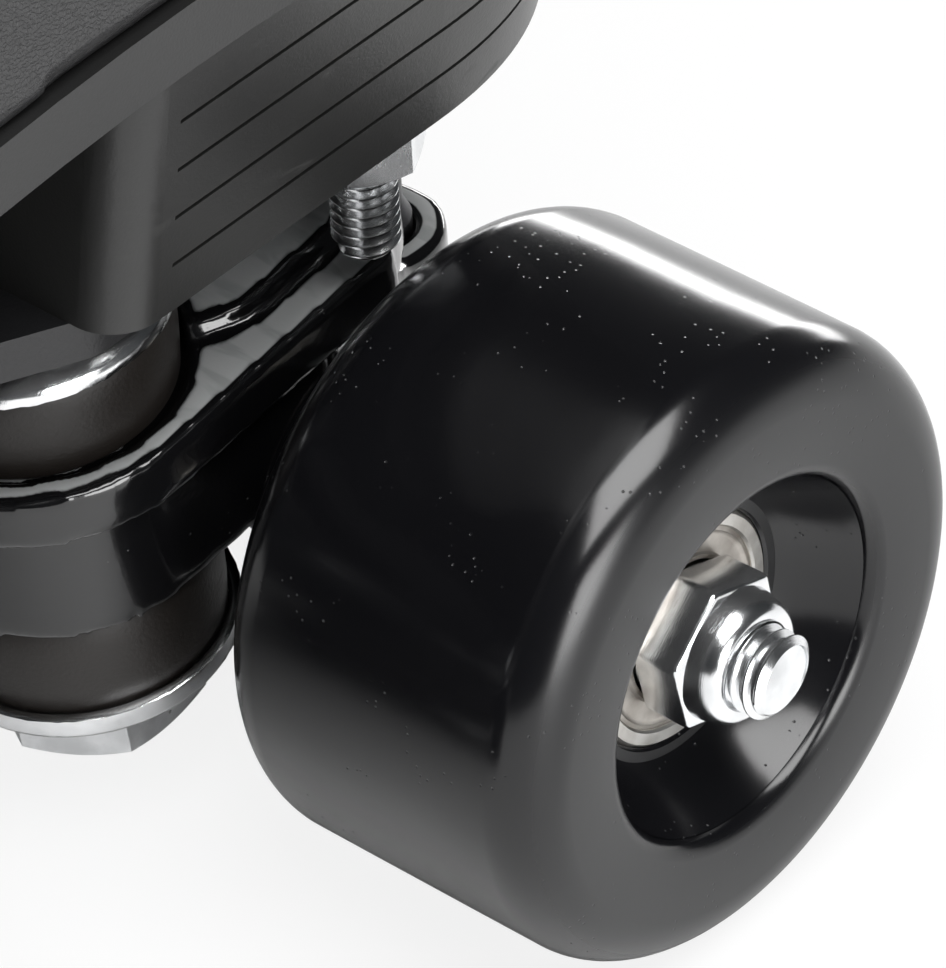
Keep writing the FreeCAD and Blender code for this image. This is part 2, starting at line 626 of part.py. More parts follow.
def base_plate():
    """Moulded plate: flange, spine, kingpin bosses, pivot housings and the toe stop's boss."""
    body = new_body("plate_flange")
    edge = [(f"{REAR_AXLE} - 27", "plate_width / 2 - 15"), (f"{REAR_AXLE} - 19", "plate_width / 2 - 5.5"),
            (f"{REAR_AXLE} - 11", "plate_width / 2 - 0.5"),
            (f"{REAR_AXLE} + 38", "plate_width / 2"), (f"{REAR_AXLE} + 56", "plate_waist / 2"),
            (f"{FRONT_AXLE} - 62", "plate_waist / 2"), (f"{FRONT_AXLE} - 46", "plate_front_width / 2"),
            (f"{FRONT_AXLE} + 46", "plate_front_width / 2"), (f"{FRONT_AXLE} + 66", "plate_waist / 2")]
    mirrored = [(x, f"0 - ({y})") for x, y in reversed(edge)]
    flange = pad(body, "plate_flange_pad", "plate_thickness", edge + mirrored, lift=PLATE_BOTTOM)
    round_edges(body, "plate_corners", flange, "5",
                lambda line: abs(line.tangentAt(line.FirstParameter).z) > 0.99)
    spine_top = PLATE_BOTTOM + " + 1"
    spine_low = PLATE_BOTTOM + " - spine_height"
    behind, ahead = f"{REAR_AXLE} + kingpin_reach", f"{FRONT_AXLE} - kingpin_reach"
    pieces = [body, block("plate_spine", (behind, "0 - 5", spine_low), (ahead, "5", spine_top))]
    for sign in (1, -1):
        rail = f"{sign} * (plate_waist / 2 - 2)"
        pieces.append(block(f"plate_rail_{sign + 1}", (behind + " + 12", rail + " - 1.5", spine_low + " + 2"),
                            (f"{FRONT_AXLE} - front_rows / 2 - 7.5", rail + " + 1.5", spine_top)))
    holes = []
    for end, (x, direction) in TRUCKS.items():
        face = UPPER_CUSHION_TOP + " + cup_thickness"
        boss = solid("Cone", f"plate_{end}_kingpin_boss", Radius1="boss_face",
                     Radius2="cup_diameter / 2 + 2", Height=f"{KINGPIN_HEAD} + 2 - ({face})")
        pieces.append(kingpin_frame(boss, end, face))
        reach = f"{x} - {direction} * pivot_reach"
        centre = f"{AXLE_HEIGHT} + pivot_height"
        pieces.append(rod(f"plate_{end}_pivot_housing", "pivot_cup_radius + 2.6",
                          f"{PLATE_TOP} - ({centre}) + 2", reach, "0", f"{centre} - 3"))
        bore = solid("Cylinder", f"plate_{end}_kingpin_bore", Radius="kingpin_diameter / 2", Height="60")
        recess = solid("Cylinder", f"plate_{end}_head_recess", Radius="kingpin_nut_width / sqrt(3)",
                       Height="20")
        holes += [kingpin_frame(bore, end, "0"), kingpin_frame(recess, end, KINGPIN_HEAD)]
        holes.append(rod(f"plate_{end}_cup_bore", "pivot_cup_radius", "10", reach, "0", f"{centre} - 3"))
    stopper_boss = solid("Cone", "plate_stopper_boss", Radius1="stopper_stem / 2 + 5",
                         Radius2="stopper_stem / 2 + 3.5", Height="stopper_boss")
    pieces.append(stopper_frame(stopper_boss))
    thread = solid("Cylinder", "plate_stopper_thread", Radius="stopper_stem / 2", Height="60")
    holes.append(stopper_frame(thread, "0 - 20"))
    for number, (x, y) in enumerate(REAR_STUDS + FRONT_BOLTS, start=1):
        holes.append(rod(f"plate_bolt_hole_{number}", "stud_diameter / 2 + hole_gap", "40", x, y,
                         PLATE_BOTTOM + " - 20"))
    top = block("plate_top_trim", (f"{REAR_AXLE} - 80", "0 - 100", PLATE_TOP),
                (f"{FRONT_AXLE} + 120", "100", PLATE_TOP + " + 30"))
    return carved("plate", joined("plate_whole", pieces), holes + [top])


def mounting_bolt(name, x, y, seat, nut_foot, foot):
    """Low-headed bolt from the seat under its head, full width only where it stands out of its nut."""
    body = new_body(name)
    radius = "stud_diameter / 2"
    drop, thread = f"({foot}) - ({seat})", f"({nut_foot}) - ({seat})"
    revolve(body, name + "_turned", [
        ("0", drop), (radius + " - 0.5", drop), (radius, drop + " + 0.5"), (radius, thread),
        (radius + " - shank_relief", thread), (radius + " - shank_relief", "0"),
        ("6", "0"), ("6", "0.9"), ("4.6", "1.8"), ("0", "1.8")])
    return place(body, x, y, seat)


def make_plate():
    keep("base_plate", base_plate())
    nut_foot = f"{PLATE_BOTTOM} - stud_washer_thickness - stud_nut_height"
    nuts, washers = [], []
    heel_seat = f"{HEEL_TOP} + outsole_thickness"
    front_seat = f"{PLATE_TOP} + outsole_thickness"
    sets = [("rear", REAR_STUDS, heel_seat, nut_foot + " - stud_thread"),
            ("front", FRONT_BOLTS, front_seat, nut_foot + " - 2")]
    for end, places, seat, foot in sets:
        bolts = [mounting_bolt(f"{end}_bolt_{number}", x, y, seat, nut_foot, foot)
                 for number, (x, y) in enumerate(places, start=1)]
        keep(f"mounting_bolts_{end}", group(f"bolts_{end}", bolts))
        for number, (x, y) in enumerate(places, start=1):
            nut = hex_nut(f"{end}_nut_{number}", "stud_nut_width", "stud_nut_height",
                          "stud_diameter / 2 + seat_gap")
            nuts.append(place(nut, x, y, nut_foot))
            disc = new_body(f"{end}_washer_{number}")
            pad(disc, f"{end}_washer_{number}_disc", "stud_washer_thickness",
                circles=[("0", "0", "stud_washer / 2"), ("0", "0", "stud_diameter / 2 + hole_gap")])
            washers.append(place(disc, x, y, f"{PLATE_BOTTOM} - stud_washer_thickness"))
    keep("mounting_nuts", group("nuts", nuts))
    keep("mounting_washers", group("washers", washers))


# ---------------------------------------------------------------- toe stop

STEM_TOP = "8"


def make_toe_stop():
    radius = "(stopper_stem / 2 - screw_gap)"
    pad_top = "(stopper_drop - stopper_height)"
    stem = new_body("toe_stop_stem_bar")
    revolve(stem, "toe_stop_stem_turned", [
        ("0", STEM_TOP), (radius + " - 1", STEM_TOP), (radius, STEM_TOP + " + 1"), (radius, pad_top + " - 2"),
        ("stopper_diameter / 2 - 8", pad_top + " - 2"), ("stopper_diameter / 2 - 7", pad_top),
        (radius, pad_top), (radius, "stopper_drop - 7"), ("0", "stopper_drop - 7")])
    keep("toe_stop_stem", stopper_frame(stem))
    rubber = new_body("toe_stop_rubber_pad")
    wide = "stopper_diameter / 2"
    turned = revolve(rubber, "toe_stop_rubber_turned", [
        ("0", "stopper_drop - 7"), ("stopper_stem / 2", "stopper_drop - 7"), ("stopper_stem / 2", pad_top),
        (wide + " - 5", pad_top), (wide, "stopper_drop - 6"), (wide, "stopper_drop"), ("0", "stopper_drop")])
    round_edges(rubber, "toe_stop_rubber_rim", turned, "3.5",
                lambda edge: is_circle(edge, wide) and edge.BoundBox.ZMin > value("stopper_drop - 1"))
    keep("toe_stop_rubber", stopper_frame(rubber))
    nut = hex_nut("toe_stop_nut", "stopper_nut_width", "stopper_nut_height", "stopper_stem / 2")
    keep("toe_stop_lock_nut", stopper_frame(nut, "stopper_boss"))


# ---------------------------------------------------------------- boot

# Half widths of the sole at stations spaced by the cosine rule from the heel to the toe, as shares
# of the named half width on the outer and the inner side of the foot.
FOOT_SHAPE = [("heel_width", 0, 0), ("heel_width", 0.64, 0.64), ("heel_width", 0.98, 0.98),
              ("heel_width", 1.01, 1.0), ("ball_width", 0.72, 0.64), ("ball_width", 0.84, 0.68),
              ("ball_width", 1.0, 0.87), ("ball_width", 0.96, 0.94), ("ball_width", 0.71, 0.82),
              ("ball_width", 0.32, 0.52), ("ball_width", -0.15, 0.15)]
STATIONS = len(FOOT_SHAPE) - 1

# Boot levels: height as a share of plate top to collar, back and front as shares of the length,
# width of the foot shape, how far the outline has turned into an oval, and the oval's half width.
LEVELS = [
    (0.00, 0.006, 0.994, 0.98, 0.00, 0.40), (0.14, 0.004, 0.993, 0.98, 0.00, 0.40),
    (0.20, 0.002, 0.985, 0.98, 0.02, 0.40), (0.255, 0.00, 0.955, 0.95, 0.08, 0.40),
    (0.295, 0.00, 0.880, 0.90, 0.20, 0.41), (0.345, 0.00, 0.745, 0.88, 0.45, 0.41),
    (0.440, 0.004, 0.615, 0.90, 0.75, 0.405), (0.560, 0.014, 0.505, 0.90, 0.95, 0.39),
    (0.690, 0.026, 0.435, 0.90, 1.00, 0.375), (0.810, 0.030, 0.402, 0.90, 1.00, 0.385),
    (0.940, 0.022, 0.388, 0.90, 1.00, 0.41), (1.200, 0.010, 0.397, 0.90, 1.00, 0.435),
]


def foot_points(height, back, front, scale, oval, half, inset):
    """Points round the boot at one height, from the heel along the outer side and back."""
    outer, inner = [], []
    for station, (width, out_share, in_share) in enumerate(FOOT_SHAPE):
        turn = math.pi * station / STATIONS
        x = back + inset + (front - back - 2 * inset) * (1 - math.cos(turn)) / 2
        bulge = half * math.sin(turn)
        full = value(width) / 2 * scale
        ease = inset * math.sin(turn) ** 0.5 if 0 < station < STATIONS else 0
        outer.append(Vector(x, (1 - oval) * full * out_share + oval * bulge - ease, height))
        inner.append(Vector(x, -(1 - oval) * full * in_share - oval * bulge + ease, height))
    return outer + inner[-2:0:-1]


def smooth_ring(points):
    curve = Part.BSplineCurve()
    curve.interpolate(points, PeriodicFlag=True)
    return Part.Wire(curve.toShape())


def boot_loft(inset):
    """Solid inside the boot's outer surface moved inwards by the inset."""
    low = value(PLATE_TOP)
    rise = value("collar_height") - low
    length = value("boot_length")
    rings = []
    for share, back, front, scale, oval, half in LEVELS:
        height = low + rise * share - (inset if share else 0)
        rings.append(smooth_ring(foot_points(
            height, length * (back - 0.5), length * (front - 0.5), scale, oval,
            half * value("ball_width"), inset)))
    return Part.makeLoft(rings, True, False)


def sole_line(lift):
    """Side view of the sole's underside, raised by a lift: heel seat, shank curve, flat forefoot."""
    far = value("boot_length")
    top = value(HEEL_TOP) + lift
    low = value(PLATE_TOP) + lift
    start = value(HEEL_FRONT + " + shank_start")
    ball = value(FRONT_AXLE + " - front_rows / 2 - 9")
    steps = 6
    curve = []
    for step in range(steps + 1):
        share = step / steps
        fall = share * share * (3 - 2 * share)
        curve.append(Vector(start + (ball - start) * share, 0, top - (top - low) * fall))
    shank = Part.BSplineCurve()
    shank.interpolate(curve, InitialTangent=Vector(1, 0, 0), FinalTangent=Vector(1, 0, 0))
    return [Part.makeLine(Vector(-far, 0, top), curve[0]), shank.toShape(),
            Part.makeLine(curve[-1], Vector(far, 0, low))]


def sole_band(low, high):
    """Everything between two lifts above the sole's underside."""
    far = value("boot_length")
    bottom, top = sole_line(low), sole_line(high)
    ends = [Part.makeLine(Vector(end, 0, bottom[side].Vertexes[point].Z),
                          Vector(end, 0, top[side].Vertexes[point].Z))
            for end, side, point in ((-far, 0, 0), (far, -1, 1))]
    face = Part.Face(Part.Wire(Part.__sortEdges__(bottom + top + ends)))
    return face.extrude(Vector(0, 2 * far, 0)).translated(Vector(0, -far, 0))


def above_sole(lift):
    return sole_band(lift, lift + 2 * value("collar_height"))


def footprint(inset):
    """Upright prism of the sole's outline."""
    length = value("boot_length")
    points = foot_points(value(PLATE_TOP) - 1, -length / 2, length / 2, 1, 0, 0, inset)
    face = Part.Face(smooth_ring(points))
    return face.extrude(Vector(0, 0, value("heel_height + outsole_thickness + 10")))


def box_between(low, high):
    size = [top - bottom for bottom, top in zip(low, high)]
    return Part.makeBox(*size, Vector(*low))


def bolt_columns(places, radius):
    """Upright cylinders at the bolts, for holes through the boot."""
    return [Part.makeCylinder(radius, 400, Vector(value(x), value(y), 0)) for x, y in places]


def side_prism(corners):
    """Everything inside an outline seen from the side."""
    far = value("boot_length")
    points = [Vector(x, -far, z) for x, z in corners]
    return Part.Face(Part.makePolygon(points + points[:1])).extrude(Vector(0, 2 * far, 0))


def above_collar(lift):
    """Everything over the collar's dipping edge, raised by a lift."""
    collar, radius = value("collar_height") + lift, value("collar_curve")
    middle = value("boot_length") * -0.295
    dip = Part.makeCylinder(radius, 400, Vector(middle, -200, collar - value("collar_dip") + radius),
                            Vector(0, 1, 0))
    return dip.fuse(box_between((-400, -200, collar), (400, 200, collar + 300)))


def feature(node, shape):
    """Makes a node from a finished shape."""
    thing = doc.addObject("Part::Feature", node + "_solid")
    thing.Shape = shape.Solids[0] if len(shape.Solids) == 1 else shape
    return keep(node, thing)


HEEL_FRONT = REAR_AXLE + " - heel_overhang + 4 + heel_length"
HEEL_FULLNESS = 0.9


def heel_ring(height, half_width, back, inset):
    """Heel outline: flat breast, straight sides, a back a little fuller than an ellipse."""
    front = value(HEEL_FRONT) - inset
    centre = value(REAR_AXLE) + 2
    half = half_width - inset
    deep = centre - back - inset
    count = 12
    points = []
    for step in range(count + 1):
        across, along = math.cos(math.pi * step / count), math.sin(math.pi * step / count)
        fuller = math.copysign(abs(across) ** HEEL_FULLNESS, across)
        points.append(Vector(centre - deep * abs(along) ** HEEL_FULLNESS, half * fuller, height))
    curve = Part.BSplineCurve()
    curve.interpolate(points, InitialTangent=Vector(-1, 0, 0), FinalTangent=Vector(1, 0, 0))
    corners = [Vector(centre, -half, height), Vector(front, -half, height),
               Vector(front, half, height), Vector(centre, half, height)]
    lines = [Part.makeLine(first, second) for first, second in zip(corners, corners[1:])]
    return Part.Wire([curve.toShape()] + lines)


def heel_block(inset):
    """Heel block that flares from its foot to the sole."""
    low, top = value(PLATE_TOP), value(HEEL_TOP)
    half = value("heel_width / 2")
    back = value("0 - boot_length / 2")
    rings = [heel_ring(low, value("heel_foot_width / 2"), back + 4, inset),
             heel_ring(top, half, back + 0.6, inset)]
    block_solid = Part.makeLoft(rings, True, True)
    upright = [edge for edge in block_solid.Edges
               if edge.BoundBox.XMin > value(HEEL_FRONT) - inset - 1 and edge.BoundBox.ZLength > 1]
    return block_solid.makeFillet(4.5, upright)


def make_heel():
    low = value(PLATE_TOP)
    layer = value("heel_height / heel_layers")
    groove = value("layer_groove")
    core = heel_block(groove)
    body = heel_block(0)
    for number in range(1, int(value("heel_layers"))):
        level = low + number * layer
        slab = box_between((value(REAR_AXLE) - 22, -200, level - groove / 2),
                           (value(HEEL_FRONT) - 6, 200, level + groove / 2))
        body = body.cut(slab.cut(core))
    for column in bolt_columns(REAR_STUDS, value("stud_diameter / 2 + hole_gap")):
        body = body.cut(column)
    feature("heel", body)


def strap(name, share_x, share_z, slope, reach):
    """Strap over the instep: a band of the boot's surface, cut square to the instep's slope."""
    gap = value("soft_gap")
    shell = boot_loft(-gap - value("strap_depth")).cut(boot_loft(-gap))
    low, rise = value(PLATE_TOP), value("collar_height") - value(PLATE_TOP)
    width = value("strap_width")
    slab = Part.makeBox(reach + 60, 200, width, Vector(-reach, -100, -width / 2))
    slab.Placement = Placement(Vector(value("boot_length") * (share_x - 0.5), 0, low + rise * share_z),
                               Rotation(Vector(0, 1, 0), slope))
    feature(name, shell.common(slab))


def make_boot():
    wall, gap = value("upper_wall"), value("soft_gap")
    board, sole = value("lasting_board"), value("outsole_thickness")
    hole = value("stud_diameter / 2 + hole_gap")
    collar = value("collar_height")
    back = -value("boot_length") / 2

    outsole = footprint(0).common(sole_band(0, sole))
    for column in bolt_columns(REAR_STUDS + FRONT_BOLTS, hole):
        outsole = outsole.cut(column)
    feature("outsole", outsole)

    throat_half = value("throat_width / 2")
    start = value("throat_start")
    throat_back = back + 0.28 * value("boot_length")
    outside = boot_loft(0).common(above_sole(sole + value("glue_line")))
    cavity = boot_loft(wall).common(above_sole(sole + board))
    upper = outside.cut(cavity)
    upper = upper.cut(box_between((throat_back, -throat_half, start), (400, throat_half, 600)))
    upper = upper.cut(above_collar(0))
    for column in bolt_columns(REAR_STUDS + FRONT_BOLTS, 6.2):
        upper = upper.cut(column.common(sole_band(0, sole + board + gap)))
    feature("boot_upper", upper)

    floor = sole + board + gap
    bed = boot_loft(wall + gap).common(sole_band(floor, floor + value("insole_thickness")))
    feature("insole", bed)

    tongue = boot_loft(wall + gap).cut(boot_loft(wall + gap + value("tongue_depth")))
    lap = throat_half + 10
    rise = collar - value(PLATE_TOP)
    front = side_prism([
        (throat_back, collar + value("tongue_rise")), (throat_back, value(PLATE_TOP) + 0.63 * rise),
        (back + 0.54 * value("boot_length"), start - 8), (400, start - 8),
        (400, collar + value("tongue_rise"))])
    tongue = tongue.common(front).common(box_between((-400, -lap, 0), (400, lap, 600)))
    feature("tongue", tongue)

    pad_ring = boot_loft(wall + gap).cut(boot_loft(wall + gap + value("padding_depth")))
    low_edge = collar - value("collar_dip") - 26
    pad_ring = pad_ring.common(box_between((-400, -200, low_edge), (throat_back - 1, 200, collar)))
    pad_ring = pad_ring.cut(above_collar(-0.5))
    feature("collar_padding", pad_ring)

    strap("strap_lower", 0.655, 0.395, -60, 42)
    strap("strap_middle", 0.555, 0.500, -52, 44)
    strap("strap_top", 0.415, 0.775, -14, 62)


# ---------------------------------------------------------------- build and export

for end in TRUCKS:
    for side in SIDES:
        make_wheel_set(end, side)
    make_truck(end)
make_plate()
make_toe_stop()
make_heel()
make_boot()
doc.recompute()

for thing in doc.Objects:
    if "Invalid" in thing.State or "Error" in thing.State:
        raise RuntimeError(f"{thing.Label} failed: {thing.State}")
os.makedirs("parts", exist_ok=True)
for node, thing in kept.items():
    if thing.Shape.isNull() or not thing.Shape.isValid():
        raise RuntimeError(f"{node} has no valid shape")
for node, thing in kept.items():
    thing.Shape.exportStep(f"parts/{node}.step")
    print(node, len(thing.Shape.Solids), round(thing.Shape.Volume), [round(side, 1) for side in (
        thing.Shape.BoundBox.XMin, thing.Shape.BoundBox.XMax, thing.Shape.BoundBox.YMin,
        thing.Shape.BoundBox.YMax, thing.Shape.BoundBox.ZMin, thing.Shape.BoundBox.ZMax)])
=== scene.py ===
# %% [markdown]
# # A quad roller skate
# This file dresses a finished engineering model of a roller skate.  The engineering model fixes every
# size and every joint; here each piece gets its real surface: cast urethane, black enamelled castings,
# zinc plated steel, moulded rubber, leather and cloth.  Distances are metres throughout.

# %% Load the frame
import bpy
import json
import math
import random
from mathutils import Matrix, Vector
from mathutils.bvhtree import BVHTree


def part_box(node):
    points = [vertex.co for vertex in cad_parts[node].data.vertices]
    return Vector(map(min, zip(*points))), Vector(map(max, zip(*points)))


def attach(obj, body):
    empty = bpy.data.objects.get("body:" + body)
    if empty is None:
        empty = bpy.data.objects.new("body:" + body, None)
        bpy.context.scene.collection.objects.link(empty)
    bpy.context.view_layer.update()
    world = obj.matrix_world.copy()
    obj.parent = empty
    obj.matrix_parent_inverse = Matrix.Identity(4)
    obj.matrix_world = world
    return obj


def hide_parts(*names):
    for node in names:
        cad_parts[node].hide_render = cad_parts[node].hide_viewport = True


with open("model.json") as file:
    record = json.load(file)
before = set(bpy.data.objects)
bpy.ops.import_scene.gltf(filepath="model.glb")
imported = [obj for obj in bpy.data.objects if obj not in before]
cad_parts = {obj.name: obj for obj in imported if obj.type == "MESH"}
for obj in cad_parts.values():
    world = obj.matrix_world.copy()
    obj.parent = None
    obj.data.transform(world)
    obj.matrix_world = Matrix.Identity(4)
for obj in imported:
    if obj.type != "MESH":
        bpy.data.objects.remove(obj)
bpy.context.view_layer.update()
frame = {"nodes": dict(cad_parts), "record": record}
MM = 0.001
SIDES = {"left": 1, "right": -1}
ENDS = ("rear", "front")

# %% [markdown]
# Every place below is read from the frame, so a changed frame moves the details with it.  A box gives
# a node's lowest and highest corner; most pieces only need its middle or one of its faces.

# %% Places read from the frame
def middle(node):
    low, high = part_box(node)
    return (low + high) / 2

def size_of(node):
    low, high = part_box(node)
    return high - low

wheel_middle = {(end, side): middle(f"wheel_{end}_{side}") for end in ENDS for side in SIDES}
wheel_radius = size_of("wheel_rear_left").z / 2
wheel_half = size_of("wheel_rear_left").y / 2
bearing_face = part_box("bearing_outer_rings_rear_left")[1].y - wheel_middle["rear", "left"].y
print("wheel", round(wheel_radius / MM, 2), "mm radius,", round(2 * wheel_half / MM, 1), "mm wide")

# %% [markdown]
# ## The camera
# A long lens far from the subject flattens perspective, as product pictures of small hardware do.
# The camera is aimed from a point on the rear outer wheel's bearing, with three plain numbers for
# the direction and a small roll, and two for how far the frame is slid across and up.

# %% Camera
VIEW_TURN = math.radians(42.59)
VIEW_HEIGHT = math.radians(38.60)
VIEW_ROLL = math.radians(-2.96)
VIEW_DISTANCE = 0.6668
SLIDE_ACROSS = -0.01765
SLIDE_UP = 0.01219
LENS = 295.8

def aim_camera():
    back = Vector((math.cos(VIEW_HEIGHT) * math.cos(VIEW_TURN),
                   math.cos(VIEW_HEIGHT) * math.sin(VIEW_TURN), math.sin(VIEW_HEIGHT)))
    across = Vector((-math.sin(VIEW_TURN), math.cos(VIEW_TURN), 0))
    up = back.cross(across)
    right = math.cos(VIEW_ROLL) * across + math.sin(VIEW_ROLL) * up
    top = math.cos(VIEW_ROLL) * up - math.sin(VIEW_ROLL) * across
    target = wheel_middle["rear", "left"] + Vector((0, bearing_face, 0))
    place = target + VIEW_DISTANCE * back + SLIDE_ACROSS * right + SLIDE_UP * top
    turn = Matrix((right, top, back)).transposed().to_4x4()
    bpy.ops.object.camera_add()
    camera = bpy.context.object
    camera.name = "studio_camera"
    camera.matrix_world = Matrix.Translation(place) @ turn
    camera.data.lens = LENS
    camera.data.sensor_width = 36
    bpy.context.scene.camera = camera

aim_camera()

# %% [markdown]
# ## Shader helpers
# A material is a small graph.  `Finish` makes nodes by one method, and `Value` wraps a socket so that
# sums and products of patterns can be written as ordinary Python.

# %% Shader helpers
class Value:
    """A node's output that can stand in sums and products."""

    def __init__(self, finish, socket):
        self.finish = finish
        self.socket = socket

    def maths(self, operation, other=0.0, swap=False):
        pair = (other, self) if swap else (self, other)
        return self.finish.add("ShaderNodeMath", {"operation": operation}, {0: pair[0], 1: pair[1]})

    def __add__(self, other):
        return self.maths("ADD", other)

    def __sub__(self, other):
        return self.maths("SUBTRACT", other)

    def __rsub__(self, other):
        return self.maths("SUBTRACT", other, swap=True)

    def __mul__(self, other):
        return self.maths("MULTIPLY", other)

    __radd__ = __add__
    __rmul__ = __mul__

    def ramp(self, low, high):
        """Zero below low, one above high, and a smooth rise between."""
        settings = {"interpolation_type": "SMOOTHSTEP"}
        inputs = {"Value": self, "From Min": low, "From Max": high}
        return self.finish.add("ShaderNodeMapRange", settings, inputs)


class Finish:
    """A material with a Principled shader, and one way to add nodes to it."""

    def __init__(self, name, color, roughness, metallic=0.0, coat=0.0):
        self.material = bpy.data.materials.new(name)
        self.material.use_nodes = True
        self.tree = self.material.node_tree
        self.shader = self.tree.nodes["Principled BSDF"]
        self.set("Base Color", (*color, 1))
        self.set("Roughness", roughness)
        self.set("Metallic", metallic)
        self.set("Coat Weight", coat)

    def add(self, kind, settings=None, inputs=None, output=0):
        node = self.tree.nodes.new(kind)
        for key, value in (settings or {}).items():
            setattr(node, key, value)
        for key, value in (inputs or {}).items():
            self.feed(node.inputs[key], value)
        return Value(self, node.outputs[output])

    def feed(self, socket, value):
        if isinstance(value, Value):
            self.tree.links.new(value.socket, socket)
        else:
            socket.default_value = value

    def set(self, name, value):
        self.feed(self.shader.inputs[name], value)

    def place(self, stretch=(1, 1, 1)):
        """Object coordinates, stretched for patterns that run one way."""
        where = self.add("ShaderNodeTexCoord", output="Object")
        return self.add("ShaderNodeMapping", None, {"Vector": where, "Scale": stretch})

    def noise(self, scale, detail=3, stretch=(1, 1, 1), distortion=0.0):
        inputs = {"Vector": self.place(stretch), "Scale": scale, "Detail": detail, "Distortion": distortion}
        return self.add("ShaderNodeTexNoise", None, inputs)

    def cells(self, scale, feature="F1"):
        inputs = {"Vector": self.place(), "Scale": scale}
        return self.add("ShaderNodeTexVoronoi", {"feature": feature}, inputs, "Distance")

    def blend(self, mask, low, high):
        """A colour between two, by a mask."""
        inputs = {"Factor": mask, 6: (*low, 1), 7: (*high, 1)}
        return self.add("ShaderNodeMix", {"data_type": "RGBA"}, inputs, 2)

    def bump(self, height, depth):
        inputs = {"Height": height, "Distance": depth, "Strength": 1.0}
        self.set("Normal", self.add("ShaderNodeBump", None, inputs))

    def facing(self, axis):
        """How squarely the surface faces along an object axis, from 0 to 1."""
        normal = self.add("ShaderNodeTexCoord", output="Normal")
        parts = self.add("ShaderNodeSeparateXYZ", None, {0: normal}, axis)
        return parts.maths("ABSOLUTE")

# %% [markdown]
# ## Finishes
# Cast urethane is glossy but never perfect: the tread keeps pinholes from its mould and the faces are
# slightly duller.  Enamelled castings show orange peel, and their upward faces carry a painted pale
# reflection.  Zinc plate is bright and a little cloudy.

# %% Urethane
def make_urethane():
    finish = Finish("urethane", (0.0035, 0.0035, 0.0042), 0.2)
    face = finish.facing("Y").ramp(0.55, 0.95)
    cloud = finish.noise(90, 4)
    specks = 1 - finish.cells(1100).ramp(0.05, 0.16)
    patches = finish.noise(160, 2).ramp(0.5, 0.62)
    pits = specks * patches
    finish.set("Roughness", 0.15 + face * 0.17 + cloud * 0.05 + pits * 0.2)
    finish.set("Base Color", finish.blend(pits * 0.6, (0.0035, 0.0035, 0.0042), (0.05, 0.05, 0.052)))
    finish.bump(finish.noise(420, 3) * 0.12 - pits, 0.00006)
    return finish.material

urethane = make_urethane()

# %% Enamel, nylon and rubbers
def make_enamel():
    finish = Finish("enamel", (0.004, 0.004, 0.0045), 0.13, coat=0.5)
    peel = finish.noise(700, 2)
    haze = finish.noise(60, 4)
    dust = 1 - finish.cells(900).ramp(0.04, 0.12)
    dust = dust * finish.noise(140, 2).ramp(0.52, 0.66)
    # Faces turned straight up get a pale grey base colour with streaks in it. This is a painted reflection
    # of the light above, not a real finish, and these faces are also made a little rougher.
    top_painted_reflection = finish.facing("Z").ramp(0.975, 0.991)
    reflection_streaks = finish.noise(300, 3, (1, 0.25, 1), 1.0).ramp(0.35, 0.5)
    finish.set("Roughness", 0.1 + haze * 0.1 + dust * 0.3 + top_painted_reflection * 0.2)
    # The dust specks are real dirt. The pale colour mixed in over the upward faces is painted reflection.
    dusty = finish.blend(dust, (0.004, 0.004, 0.0045), (0.09, 0.09, 0.09))
    pale = finish.blend(reflection_streaks, (0.34, 0.35, 0.35), (0.44, 0.45, 0.45))
    finish.set("Base Color", finish.add("ShaderNodeMix", {"data_type": "RGBA"}, {
        "Factor": top_painted_reflection, 6: dusty, 7: pale}, 2))
    finish.bump(peel * 0.5 + finish.noise(2600, 1) * 0.1, 0.00005)
    return finish.material

def make_moulded(name, dark, light, roughness, grain, depth):
    """Rubber or nylon from a mould: fine grain, cloudy colour and a few scuffs."""
    finish = Finish(name, dark, roughness)
    cloud = finish.noise(45, 4)
    scuffs = finish.noise(130, 5, (1, 1, 4), 1.5).ramp(0.62, 0.74)
    finish.set("Base Color", finish.blend(cloud * 0.7 + scuffs * 0.5, dark, light))
    finish.set("Roughness", roughness + cloud * 0.1 + scuffs * 0.12)
    finish.bump(finish.noise(grain, 4) + finish.noise(grain * 0.2, 2) * 0.6, depth)
    return finish.material

enamel = make_enamel()
cushion_rubber = make_moulded("cushion_rubber", (0.006, 0.0045, 0.0035), (0.014, 0.011, 0.009),
                              0.42, 2500, 0.00004)
nylon = make_moulded("nylon", (0.008, 0.008, 0.009), (0.018, 0.018, 0.019), 0.36, 3000, 0.00005)
heel_rubber = make_moulded("heel_rubber", (0.012, 0.012, 0.012), (0.022, 0.022, 0.021),
                           0.27, 3600, 0.000015)
sole_rubber = make_moulded("sole_rubber", (0.01, 0.01, 0.01), (0.02, 0.02, 0.02), 0.27, 3600, 0.00002)
stop_rubber = make_moulded("stop_rubber", (0.012, 0.012, 0.013), (0.03, 0.03, 0.03),
                           0.55, 1800, 0.00008)

# %% Metals
def make_plated(name, dark, light, roughness, cloudiness=0.16):
    """Zinc or nickel plate: cloudy brightness, hairlines and a faint ripple."""
    finish = Finish(name, light, roughness, metallic=1.0)
    cloud = finish.noise(230, 5)
    lines = finish.noise(900, 2, (1, 14, 1))
    finish.set("Base Color", finish.blend(cloud.ramp(0.3, 0.65), dark, light))
    finish.set("Roughness", roughness + cloud * cloudiness + lines * 0.05)
    finish.bump(cloud * 0.6 + lines * 0.3, 0.00003)
    return finish.material

